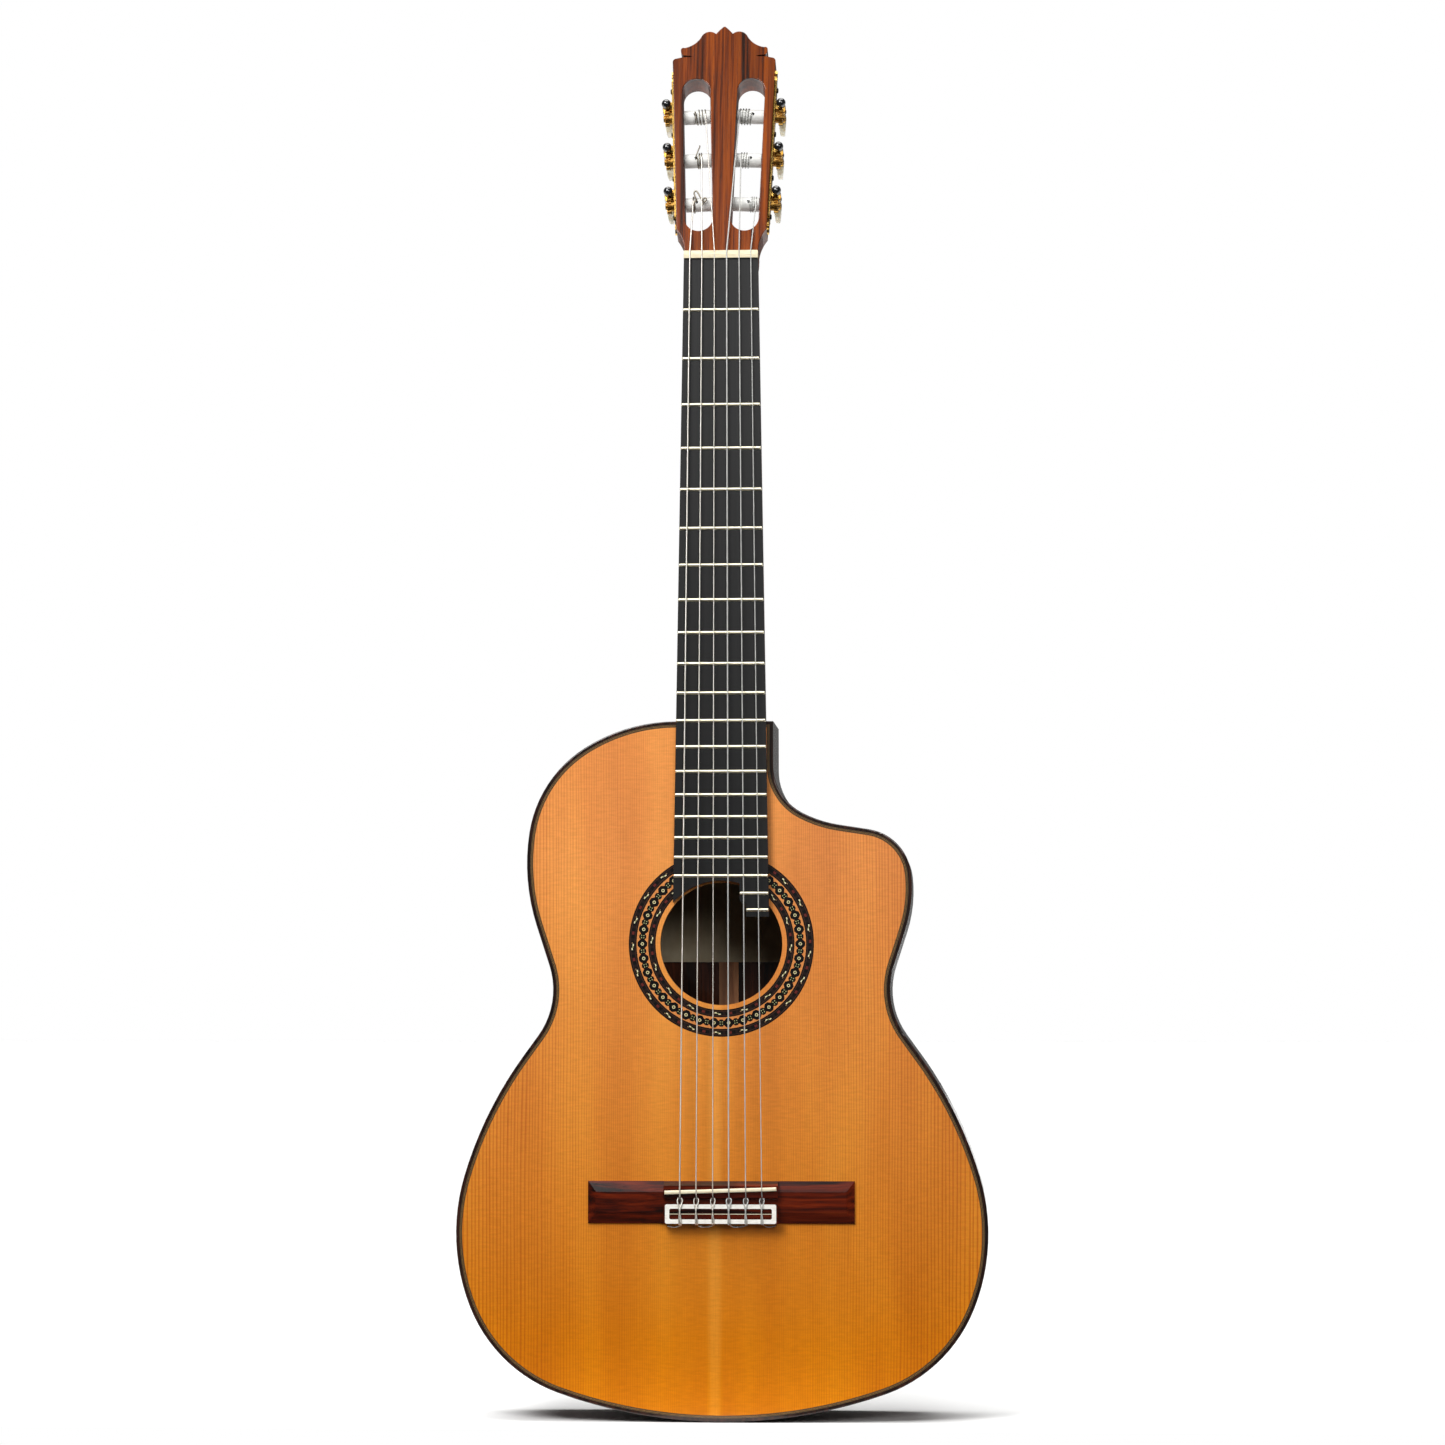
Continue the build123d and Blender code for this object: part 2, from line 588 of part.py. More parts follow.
def plate():
    """One side's plate, with ornamental ends, three bores and six bearing lugs."""
    tip = PLATE_NECK
    half = PLATE_HALF
    right = [
        Line((0, PLATE_LOW - PLATE_TIP), (tip - 1, PLATE_LOW - PLATE_TIP)),
        ThreePointArc((tip - 1, PLATE_LOW - PLATE_TIP), (tip + 0.6, PLATE_LOW - 6.5),
                      (tip, PLATE_LOW - 4)),
        ThreePointArc((tip, PLATE_LOW - 4), (4.2, PLATE_LOW - 1.2), (half, PLATE_LOW)),
        Line((half, PLATE_LOW), (half, PLATE_HIGH)),
        ThreePointArc((half, PLATE_HIGH), (4.2, PLATE_HIGH + 1.2), (tip, PLATE_HIGH + 4)),
        ThreePointArc((tip, PLATE_HIGH + 4), (tip + 0.6, PLATE_HIGH + 6.5),
                      (tip - 1, PLATE_HIGH + PLATE_TIP)),
        Line((tip - 1, PLATE_HIGH + PLATE_TIP), (0, PLATE_HIGH + PLATE_TIP)),
    ]
    face = make_face(right + [edge.mirror(Plane.YZ) for edge in right])
    flat = Plane(origin=(0, 0, 0), x_dir=(0, 0, -1), z_dir=(1, 0, 0))
    body = extrude(flat * face, amount=PLATE_THICK)
    for step in (-1, 0, 1):
        v = step * ROLLER_STEP
        for w0, w1 in ((LUG_IN, LUG_OUT), (-LUG_OUT, -LUG_IN)):
            middle = v + WORM_V
            lug = box(PLATE_THICK - 0.2, WORM_U, middle - LUG_HALF, middle + LUG_HALF, w0, w1)
            lug += rod((WORM_U, middle, w0), (WORM_U, middle, w1), LUG_HALF)
            body += lug
        body -= rod((WORM_U, v + WORM_V, -9), (WORM_U, v + WORM_V, 9), SHAFT_R + RUN_GAP)
        body -= rod((-1, v, 0), (PLATE_THICK + 0.1, v, 0), SPINDLE_R + RUN_GAP)
    for v in SCREW_V:
        body -= rod((-1, v, 0), (PLATE_THICK + 1, v, 0), SCREW_R)
    return body


def plate_screw(v):
    """A round-headed, slotted screw."""
    head = rod((PLATE_THICK, v, 0), (PLATE_THICK + SCREW_HEAD_TALL, v, 0), SCREW_HEAD_R)
    head = fillet(head.edges().filter_by(GeomType.CIRCLE).group_by(Axis.X)[-1], SCREW_HEAD_ROUND)
    head -= box(PLATE_THICK + 0.7, PLATE_THICK + 2, v - 3, v + 3, -0.25, 0.25)
    return head + rod((-SCREW_LONG, v, 0), (PLATE_THICK + 0.1, v, 0), SCREW_R)


def make_machines():
    for number, side, v in machines():
        save(f"string_roller_{number}", place_on_side(string_roller(), side, v))
        save(f"tuner_wheel_{number}", place_on_side(tuner_wheel(), side, v))
        save(f"tuner_worm_{number}", place_on_side(tuner_worm(), side, v))
        save(f"tuner_button_{number}", place_on_side(tuner_button(), side, v))
    save("tuner_plates", solids_of(*[place_on_side(plate(), side) for side in (1, -1)]))
    screws = [place_on_side(plate_screw(v), side) for side in (1, -1) for v in SCREW_V]
    save("plate_screws", solids_of(*screws))


# ---- neck --------------------------------------------------------------------------
def in_slots(place):
    """Is this the middle of an edge round a slot, on the headstock's face?"""
    return abs(place.Z) < FLAT and abs(place.X) < 29.5 and 14 < place.Y < 136


def on_sides(place):
    """Is this the middle of an edge down the side of the headstock's face?"""
    return abs(place.Z) < FLAT and abs(place.X) > 26 and 5 < place.Y < 149.9


def on_crest(place):
    """Is this the middle of an edge along the crest of the headstock's face?"""
    return abs(place.Z) < FLAT and place.Y > 160


def make_neck():
    top = Plane(origin=(0, 0, SHAFT_TOP_Z), x_dir=(1, 0, 0), z_dir=(0, 0, 1))
    low = Plane(origin=(0, 0, JOINT_Z), x_dir=(1, 0, 0), z_dir=(0, 0, 1))
    shaft_top = top * Rot(180, 0, 0) * neck_section(board_half(SHAFT_TOP_Z), SHAFT_THICK_NUT, SHAFT_CORNER)
    shaft_low = low * Rot(180, 0, 0) * neck_section(board_half(JOINT_Z), SHAFT_THICK_HEEL, SHAFT_CORNER)
    neck = loft([shaft_top, shaft_low], ruled=True)

    ellipses = []
    for depth, half, long in HEEL:
        oval = Ellipse(half, long) & Pos(0, 100) * Rectangle(200, 200)
        ellipses.append(Plane.XZ.offset(-depth) * Pos(0, JOINT_Z) * oval)
    heel = loft(ellipses)
    whole_heel = heel + neck_web()
    neck += (whole_heel + neck_block()) & dome(BACK_THICK)

    flare_top = HEAD.location * Pos(0, FLARE_LONG, 0) * Rot(90, 0, 0)
    flare_face = flare_top * neck_section(FLARE_HALF, HEAD_THICK, FLARE_CORNER)
    plan = head_outline() - slot_plan()
    core = head_slab(plan, VENEER, HEAD_THICK)
    upper = head_slab(Pos(0, FLARE_LONG + 100) * Rectangle(120, 200), -5, HEAD_THICK + 5)
    below_nut = Pos(0, -12) * Rectangle(2 * board_half(SHAFT_TOP_Z) + 0.1, 24)
    lower_trim = head_slab(head_outline() + below_nut, -9, 2 * HEAD_THICK)
    flare = loft([shaft_top, flare_face], ruled=True) & lower_trim
    flare -= head_slab(slot_plan(), -5, HEAD_THICK + 5)
    flare -= head_slab(Rectangle(90, 400), -20, VENEER) & box(-50, 50, -40, 40, NUT_LONG, 40)
    neck += (core & upper) + flare
    neck -= box(-40, 40, -30, 0, -20, NUT_LONG)
    for _, side, v in machines():
        bore = rod((SPINDLE_END - 0.3, v, 0), (2, v, 0), SPINDLE_R + RUN_GAP)
        neck -= place_on_side(bore, side)
    for side in (1, -1):
        for v in SCREW_V:
            neck -= place_on_side(rod((-SCREW_LONG, v, 0), (2, v, 0), SCREW_R), side)
    save("neck", neck)
    save("heel_cap", (whole_heel & dome()) - dome(BACK_THICK))
    veneer = head_slab(plan, 0, VENEER) - box(-40, 40, -30, 30, -20, NUT_LONG)
    for zone in (in_slots, on_sides, on_crest):
        veneer = fillet([edge for edge in veneer.edges() if zone(HEAD.to_local_coords(edge.center()))],
                        HEAD_EDGE_ROUND)
    save("headstock_plate", veneer)


# ---- fingerboard, frets, nut -------------------------------------------------------
def board_plan():
    """The fingerboard's plan: tapered, hollowed round the soundhole, longer for two frets."""
    def on_hole(x):
        return HOLE_Z + math.sqrt(BOARD_HOLE_R ** 2 - x ** 2)

    corner_x = 33.2
    left = (-board_half(on_hole(corner_x)), on_hole(board_half(on_hole(corner_x))))
    step_low = (fret_z(20) + fret_z(21)) / 2
    start = (STEP_20_X, on_hole(STEP_20_X))
    end_half = board_half(BOARD_END_Z)
    step_start = (STEP_20_X, step_low + 2.0)
    step_middle = (STEP_21_X - 1.5, step_low - 0.8)
    step_end = (STEP_21_X, step_low - 3.0)
    edges = [
        Line((-NUT_HALF, 0), left),
        ThreePointArc(left, (0, on_hole(0)), start),
        Line(start, step_start),
        ThreePointArc(step_start, (STEP_20_X + 0.9, step_low), step_middle),
        ThreePointArc(step_middle, (STEP_21_X - 0.3, step_low - 1.6), step_end),
        Line(step_end, (STEP_21_X, BOARD_END_Z)),
        Line((STEP_21_X, BOARD_END_Z), (end_half, BOARD_END_Z)),
        Line((end_half, BOARD_END_Z), (NUT_HALF, 0)),
        Line((NUT_HALF, 0), (-NUT_HALF, 0)),
    ]
    return make_face(edges)


def fret_span(number):
    """A fret's two ends."""
    right = board_half(fret_z(number))
    left = {20: -STEP_20_X, 21: -STEP_21_X}.get(number, right)
    return -left, right


def make_fingerboard():
    board = slab(board_plan(), -BOARD_THICK, 0)
    crown_r = ((FRET_WIDE / 2) ** 2 + FRET_TALL ** 2) / (2 * FRET_TALL)
    crown_y = -BOARD_THICK - FRET_TALL + crown_r
    frets = []
    for number in range(1, FRET_COUNT + 1):
        z = fret_z(number)
        x0, x1 = fret_span(number)
        bar = rod((x0, crown_y, z), (x1, crown_y, z), crown_r)
        bar = chamfer(bar.edges().filter_by(GeomType.CIRCLE), 0.45)
        crown = bar & box(-60, 60, -20, -BOARD_THICK, z - 3, z + 3)
        tang = box(x0, x1, -BOARD_THICK, -BOARD_THICK + TANG_DEEP, z - TANG_WIDE / 2, z + TANG_WIDE / 2)
        board -= tang
        frets.append(crown + tang)
    save("fingerboard", board)
    save("frets", solids_of(*frets))


# ---- strings -----------------------------------------------------------------------
def saddle_z(x):
    return SADDLE_Z + x * math.tan(math.radians(SADDLE_SLANT))


def roller_touch(start, v, radius):
    """Where a straight string from a point meets the top of the roller at v, as (s, w)."""
    local = HEAD.to_local_coords(Vector(*start))
    ds = ROLLER_MID_S + v - local.Y
    dw = -ROLLER_DEPTH - local.Z
    far = math.hypot(ds, dw)
    slope = math.atan2(dw, ds) + math.asin(radius / far)
    run = math.sqrt(far ** 2 - radius ** 2)
    return local.Y + run * math.cos(slope), local.Z + run * math.sin(slope)


def string_route(index):
    """A string's corners from its loop on the tie block to its roller, bass string first."""
    r = STRING_RADII[index]
    x = SADDLE_X[index]
    behind = BRIDGE_BACK - r - 0.1
    over = -BLOCK_TALL - r - 0.1
    nut = (NUT_X[index], -NUT_TALL + NUT_GROOVE - r * 0.2, NUT_LONG - 0.2)
    v = list(machines())[STRING_COUNT - 1 - index][2]
    s, w = roller_touch(nut, v, ROLLER_R + r + 0.3)
    end = head_point(ROLLER_X[index], s, w)
    return [(x + 1.3, over, TIE_FRONT - 1.0), (x, over, behind), (x, TIE_HOLE_Y, behind),
            (x, TIE_HOLE_Y, TIE_FRONT + 0.5), (x, SADDLE_TOP - r * 0.6, saddle_z(x)), nut,
            (end.X, end.Y, end.Z)]


def string_solid(index):
    r = STRING_RADII[index]
    route = string_route(index)
    path = FilletPolyline(*route, radius=[r * 1.05 + 0.25, r * 1.05 + 0.25, 1.5, 2.0, 3.0])
    start = Plane(origin=path @ 0, z_dir=path % 0)
    return sweep(start * Circle(r), path=path)


def make_strings():
    strings = [string_solid(index) for index in range(STRING_COUNT)]
    for index, shape in enumerate(strings):
        save(f"string_{STRING_COUNT - index}", shape)
    return strings


def make_nut(strings):
    nut = along_x([(0, 0), (-NUT_TALL, 0), (-NUT_TALL, 2.6), (-NUT_TALL + 0.7, NUT_LONG), (0, NUT_LONG)],
                  -NUT_HALF, NUT_HALF)
    for shape in strings:
        nut -= shape
    save("nut", nut)


# ---- bridge ------------------------------------------------------------------------
def saddle_blank(top, foot):
    blank = Box(2 * SADDLE_HALF, abs(top - foot), SADDLE_THICK)
    return Pos(0, (top + foot) / 2, SADDLE_Z) * Rot(0, -SADDLE_SLANT, 0) * blank


def tie_frame_plan(grow):
    middle = (TIE_FRONT + BRIDGE_BACK) / 2
    wide = TIE_FRONT - BRIDGE_BACK - 2 * grow
    return Pos(0, middle) * RectangleRounded(2 * (FRAME_HALF - grow), wide, 1.2)


def make_bridge(strings):
    wing = [(0, BRIDGE_FRONT), (-WING_EDGE, BRIDGE_FRONT), (-WING_TALL, BRIDGE_FRONT - WING_SLOPE),
            (-WING_TALL, BRIDGE_BACK + WING_SLOPE), (-WING_EDGE, BRIDGE_BACK), (0, BRIDGE_BACK)]
    wings = along_x(wing, -BRIDGE_HALF, BRIDGE_HALF)
    end_slope = BRIDGE_HALF - 6
    ends = make_face(Polyline((-BRIDGE_HALF, 0), (-BRIDGE_HALF, -WING_EDGE), (-end_slope, -WING_TALL - 0.1),
                              (end_slope, -WING_TALL - 0.1), (BRIDGE_HALF, -WING_EDGE), (BRIDGE_HALF, 0),
                              close=True))
    wings &= extrude(Plane.XY.offset(BRIDGE_BACK - 1) * ends, amount=40)
    middle = [(0, BRIDGE_FRONT), (-3.0, BRIDGE_FRONT), (FRONT_STEP, BRIDGE_FRONT - 3.0),
              (FRONT_STEP, -655.6), (TROUGH, -657.2), (TROUGH, TIE_FRONT), (-BLOCK_TALL, TIE_FRONT),
              (-BLOCK_TALL, BRIDGE_BACK), (0, BRIDGE_BACK)]
    bridge = wings + along_x(middle, -BRIDGE_MID_HALF, BRIDGE_MID_HALF)
    bridge -= saddle_blank(SADDLE_TOP, SADDLE_FOOT)
    frame = slab(tie_frame_plan(0) - tie_frame_plan(FRAME_BAR), -BLOCK_TALL, -BLOCK_TALL + FRAME_THICK)
    bridge -= frame
    for shape in strings:
        bridge -= shape
        frame -= shape
    save("bridge", bridge)
    save("tie_block_frame", frame)
    saddle = saddle_blank(SADDLE_TOP, SADDLE_FOOT)
    rounded = saddle.edges().filter_by(Axis.Y, reverse=True).group_by(Axis.Y)[0]
    saddle = fillet(rounded, SADDLE_ROUND)
    for shape in strings:
        saddle -= shape
    save("saddle", saddle)


make_top()
make_back()
make_ribs()
make_linings()
make_braces()
make_neck()
make_fingerboard()
make_machines()
all_strings = make_strings()
make_nut(all_strings)
make_bridge(all_strings)
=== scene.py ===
# %% [markdown]
# # A classical guitar with a cutaway
# The parts of this guitar that have a plain, exact shape (plates, ribs, neck, frets, tuning plates) come from
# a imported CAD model, which is loaded here as a fixed frame. This script gives each of them a finish, and
# models the parts that CAD left plain: the worms and their black balls, the tied and wound strings, the inlaid
# lines round the edge, and the label inside. Everything is in metres and stands where the CAD frame says.

import json
import math

import bmesh
import bpy
from mathutils import Matrix, Vector
from mathutils.bvhtree import BVHTree


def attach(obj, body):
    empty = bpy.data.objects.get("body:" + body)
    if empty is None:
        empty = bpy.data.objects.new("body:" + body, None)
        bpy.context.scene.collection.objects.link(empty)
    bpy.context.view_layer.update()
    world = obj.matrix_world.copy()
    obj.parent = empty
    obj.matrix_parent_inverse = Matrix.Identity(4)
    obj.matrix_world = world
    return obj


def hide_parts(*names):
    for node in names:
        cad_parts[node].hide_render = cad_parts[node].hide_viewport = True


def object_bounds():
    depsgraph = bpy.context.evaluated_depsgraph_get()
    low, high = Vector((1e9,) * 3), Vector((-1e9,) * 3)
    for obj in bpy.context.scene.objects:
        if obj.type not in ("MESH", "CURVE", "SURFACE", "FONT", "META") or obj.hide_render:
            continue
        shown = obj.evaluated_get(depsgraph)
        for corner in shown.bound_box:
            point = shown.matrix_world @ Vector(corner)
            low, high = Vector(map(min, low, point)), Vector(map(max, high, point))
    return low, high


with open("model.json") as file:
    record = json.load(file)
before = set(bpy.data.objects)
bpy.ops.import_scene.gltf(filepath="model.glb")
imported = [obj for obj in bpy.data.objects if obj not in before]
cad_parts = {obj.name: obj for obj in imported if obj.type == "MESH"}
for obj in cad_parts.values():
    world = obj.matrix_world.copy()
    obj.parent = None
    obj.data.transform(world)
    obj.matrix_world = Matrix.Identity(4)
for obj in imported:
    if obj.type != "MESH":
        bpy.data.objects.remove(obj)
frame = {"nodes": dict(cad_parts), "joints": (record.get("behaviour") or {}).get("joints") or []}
cad_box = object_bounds()
nodes = frame["nodes"]
joints = {joint["name"]: joint for joint in frame["joints"]}
MM = 0.001

# %% [markdown]
# ## Where things are
# The origin is the front of the nut, +Z runs up to the head and -Y is the side that the player's audience
# sees. The sizes below are the instrument's own, in millimetres. The tuning machines lean with the headstock,
# so their places and directions are read from the joints of the frame instead of being typed in.

# %% Sizes of the strings, the soundhole and the bridge
STRINGS = range(1, 7)
STRING_R = {1: 0.355, 2: 0.41, 3: 0.51, 4: 0.375, 5: 0.45, 6: 0.55}
NUT_X = {1: 21.1, 2: 12.9, 3: 4.2, 4: -4.4, 5: -13.2, 6: -21.6}
SADDLE_X = {1: 28.6, 2: 17.5, 3: 5.8, 4: -5.3, 5: -16.8, 6: -28.1}
ROLLER_X = {1: 24.0, 2: 12.7, 3: 11.4, 4: -13.0, 5: -15.2, 6: -20.5}
NUT_Y, NUT_Z = -7.75, 5.2
SADDLE_Y, SADDLE_Z = -12.0, -650.75
SADDLE_SLANT = math.tan(math.radians(1.85))
TIE_HOLE_Y = -5.0
BLOCK_Y = -9.0
BLOCK_FRONT, BLOCK_BACK = -660.1, -673.4
BLOCK_GAP, ROLLER_GAP = 0.12, 0.05
ROLLER_R = 5.0
HOLE_Z = -480.2
ROSETTE_IN, FIELD_IN, FIELD_OUT, ROSETTE_OUT = 45.8, 51.0, 59.0, 64.5
PURFLING = 2.4


# %% Directions at a tuning machine
def at_knob(number):
    """A machine's frame: x out of the headstock's side, z out of its face, origin on the worm's axis."""
    facing = Vector(joints[f"knob_{number}_turn"]["axis"]).normalized()
    outward = Vector(joints[f"roller_{number}_turn"]["axis"]).normalized()
    place = Matrix((outward, facing.cross(outward), facing)).transposed().to_4x4()
    place.translation = Vector(joints[f"knob_{number}_turn"]["pos_m"])
    return place


def at_roller(number):
    """The roller's centre, and the directions out along it, up the headstock and out of its face."""
    outward = Vector(joints[f"roller_{number}_turn"]["axis"]).normalized()
    facing = Vector(joints[f"knob_{number}_turn"]["axis"]).normalized()
    up = facing.cross(outward) * (1 if outward.x > 0 else -1)
    return Vector(joints[f"roller_{number}_turn"]["pos_m"]), outward, up, facing


print("first machine stands at", [round(value, 4) for value in at_knob(1).translation])

# %% [markdown]
# ## Small tools
# A few helpers do the repeated work. `finished` turns a bmesh into an object that rides on a body of the
# frame. `turned` adds one turned section, as a lathe would cut it, to a bmesh. `add` puts one node into a
# material with its settings and links. Every recipe below begins with `start`, takes its unevenness from
# `grain` and ends with `surfaced`, so that only what is special about a finish has to be written out.


# %% From bmesh to finished piece
def finished(bm, name, body, material, smooth_angle=35):
    """Make an object from a bmesh, in millimetres, and let it ride on a body."""
    bmesh.ops.scale(bm, vec=(MM, MM, MM), verts=bm.verts)
    bmesh.ops.recalc_face_normals(bm, faces=bm.faces)
    mesh = bpy.data.meshes.new(name)
    bm.to_mesh(mesh)
    bm.free()
    piece = bpy.data.objects.new(name, mesh)
    bpy.context.scene.collection.objects.link(piece)
    mesh.shade_smooth()
    mesh.set_sharp_from_angle(angle=math.radians(smooth_angle))
    mesh.materials.append(material)
    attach(piece, body)
    return piece


def millimetres(place):
    """A frame in metres, with its origin in millimetres."""
    moved = place.copy()
    moved.translation = place.translation / MM
    return moved


# %% One turned section
def turned(bm, radius, low, high, rounding, sides=32):
    """Add a disc or shaft along z, with its two rims rounded."""
    made = bmesh.ops.create_cone(bm, cap_ends=True, segments=sides, radius1=radius, radius2=radius,
                                 depth=high - low, matrix=Matrix.Translation((0, 0, (low + high) / 2)))
    rims = [edge for edge in {e for v in made["verts"] for e in v.link_edges}
            if abs(edge.verts[0].co.z - edge.verts[1].co.z) < 1e-6]
    if rounding:
        bmesh.ops.bevel(bm, geom=rims, offset=rounding, segments=2, profile=0.5, affect="EDGES", material=-1)


# %% Colours and nodes
def colour(code):
    """An sRGB colour such as '#C87020', as the linear values that Blender works in."""
    parts = [int(code[i:i + 2], 16) / 255 for i in (1, 3, 5)]
    return [part / 12.92 if part <= 0.04045 else ((part + 0.055) / 1.055) ** 2.4 for part in parts] + [1.0]


def add(tree, kind, settings=None, links=None):
    """Add a node. A setting names or numbers an input, or else a property; a link's source may be a node."""
    node = tree.nodes.new(kind)
    for name, value in (settings or {}).items():
        if isinstance(name, int) or name in node.inputs:
            node.inputs[name].default_value = value
        else:
            setattr(node, name, value)
    for name, source in (links or {}).items():
        socket = source.outputs[0] if isinstance(source, bpy.types.Node) else source
        tree.links.new(socket, node.inputs[name])
    return node


def stops(ramp, places, interpolation="LINEAR"):
    """Set a colour ramp's stops from (position, colour code) pairs."""
    ramp.color_ramp.interpolation = interpolation
    elements = ramp.color_ramp.elements
    while len(elements) < len(places):
        elements.new(0.5)
    for element, (position, code) in zip(elements, places):
        element.position = position
        element.color = colour(code)
    return ramp


def start(name, **shader):
    """A new material: its tree, its shader with plain values set, and its object coordinates."""
    material = bpy.data.materials.new(name)
    material.use_nodes = True
    tree = material.node_tree
    tree.nodes.clear()
    surface = add(tree, "ShaderNodeBsdfPrincipled")
    for socket, value in shader.items():
        surface.inputs[socket.replace("_", " ").title().replace("Ior", "IOR")].default_value = value
    add(tree, "ShaderNodeOutputMaterial", {}, {"Surface": surface})
    place = add(tree, "ShaderNodeTexCoord").outputs["Object"]
    return material, tree, surface, place


def grain(tree, place, size_mm, detail, roughness=0.5, shift=(0, 0, 0)):
    """Noise whose lumps are so many millimetres long in x, y and z."""
    scaled = add(tree, "ShaderNodeMapping", {"Scale": [1 / (size * MM) for size in size_mm], "Location": shift},
                 {"Vector": place})
    return add(tree, "ShaderNodeTexNoise", {"Scale": 1.0, "Detail": detail, "Roughness": roughness},
               {"Vector": scaled})


def surfaced(tree, surface, base, uneven, dull, relief=None):
    """End a recipe with its colour, a roughness that follows a noise between two values, and its relief.

    A relief is a height from 0 to 1, its depth in millimetres and its strength.
    """
    tree.links.new(base, surface.inputs["Base Color"])
    spread = add(tree, "ShaderNodeMapRange", {"To Min": dull[0], "To Max": dull[1]}, {"Value": uneven})
    tree.links.new(spread.outputs[0], surface.inputs["Roughness"])
    if relief:
        height, depth_mm, strength = relief
        raised = add(tree, "ShaderNodeBump", {"Strength": strength, "Distance": depth_mm * MM},
                     {"Height": height})
        tree.links.new(raised.outputs["Normal"], surface.inputs["Normal"])


# %% [markdown]
# ## Wood in general
# Wood is a bundle of tubes. Seen along its length it has long fibres, open pores that show as short dark
# dashes, and growth layers that show as bands. All of these are noises stretched along the grain, so one
# recipe with different sizes and colours gives each of the guitar's dark woods. Stretching noise is quick, and
# it never repeats, as a drawn wave would.


# %% A figured dark wood
def rosewood(name, shades, along=(0, 0, 1), streak_mm=7.0, pore_mm=0.5, rough=0.28, coat=0.9, seed=0.0,
             pores=0.5, wander=1.6, lean=0.0):
    """Bands of four shades, from the darkest up, dark pores and a lacquer coat, turned by a lean in degrees."""
    material, tree, surface, place = start(name, coat_weight=coat, coat_roughness=0.07, ior=1.52)
    surface.inputs["Specular IOR Level"].default_value = 0.14 if coat else 0.5
    place = add(tree, "ShaderNodeMapping", {"Rotation": (math.radians(lean), 0, 0)}, {"Vector": place})

    def sizes(width_mm, length_mm):
        return [length_mm if axis else width_mm for axis in along]

    drift = grain(tree, place, sizes(35.0, 160.0), 3.0, shift=(1.0, seed, 1.0))
    wandering = add(tree, "ShaderNodeVectorMath", {"operation": "SCALE", "Scale": wander},
                    {0: drift.outputs["Color"]})
    streaks = add(tree, "ShaderNodeMapping", {"Scale": [1 / (size * MM) for size in sizes(streak_mm, 150.0)],
                                              "Location": (4.0, seed, 4.0)}, {"Vector": place})
    bent = add(tree, "ShaderNodeVectorMath", {"operation": "ADD"}, {0: streaks, 1: wandering})
    bands = add(tree, "ShaderNodeTexNoise", {"Scale": 1.0, "Detail": 6.0, "Roughness": 0.62}, {"Vector": bent})
    shade = stops(add(tree, "ShaderNodeValToRGB", {}, {"Fac": bands}),
                  [(0.36, shades[0]), (0.47, shades[1]), (0.56, shades[2]), (0.68, shades[3])])
    fibre = grain(tree, place, sizes(pore_mm, 12.0), 4.0, shift=(9.0, seed, 9.0))
    dashes = add(tree, "ShaderNodeMapRange", {"From Min": 0.60, "From Max": 0.70}, {"Value": fibre})
    amount = add(tree, "ShaderNodeMath", {"operation": "MULTIPLY", 1: pores}, {0: dashes})
    poured = add(tree, "ShaderNodeMix", {"data_type": "RGBA", 7: colour(shades[0])},
                 {0: amount, 6: shade.outputs["Color"]})
    broad = grain(tree, place, sizes(12.0, 260.0), 2.0, shift=(2.0, seed, 2.0))
    depth = add(tree, "ShaderNodeMapRange", {"From Min": 0.34, "From Max": 0.62, "To Min": 0.62, "To Max": 1.1},
                {"Value": broad})
    toned = add(tree, "ShaderNodeHueSaturation", {}, {"Color": poured.outputs[2], "Value": depth})
    level = add(tree, "ShaderNodeMath", {"operation": "SUBTRACT", 0: 1.0}, {1: dashes})
    surfaced(tree, surface, toned.outputs[0], fibre, (rough - 0.06, rough + 0.1), (level, 0.03, 0.35))
    return material


back_rosewood = rosewood("rosewood_back_lacquered", ["#120906", "#2E150C", "#4A2313", "#643220"], streak_mm=9.0)
side_rosewood = rosewood("rosewood_ribs_lacquered", ["#120906", "#2A130B", "#452012", "#5A2C1A"], streak_mm=8.0,
                         seed=3.0)
head_rosewood = rosewood("rosewood_veneer_lacquered", ["#240C01", "#602603", "#743305", "#863F08"],
                         streak_mm=2.5, pore_mm=0.35, coat=0.6, seed=7.7, pores=0.75, wander=0.8, lean=15.0)
bridge_rosewood = rosewood("rosewood_bridge_polished", ["#0A0201", "#420E01", "#5E1903", "#752808"],
                           along=(1, 0, 0), streak_mm=5.0, seed=5.2, coat=0.8, pores=0.4, wander=4.0)
binding_wood = rosewood("rosewood_binding_lacquered", ["#0E0705", "#20100A", "#331A11", "#40231A"],
                        streak_mm=3.0, seed=1.3)
print("dark woods made")

# %% [markdown]
# ## The neck's cedar
# The neck and the blocks are Spanish cedar: lighter, even, pinkish brown wood with fine pores under a satin
# lacquer. The same recipe as rosewood does it, with closer colours and a thinner coat. The braces are bare
# spruce and the linings bare cedar, so they have no coat at all.

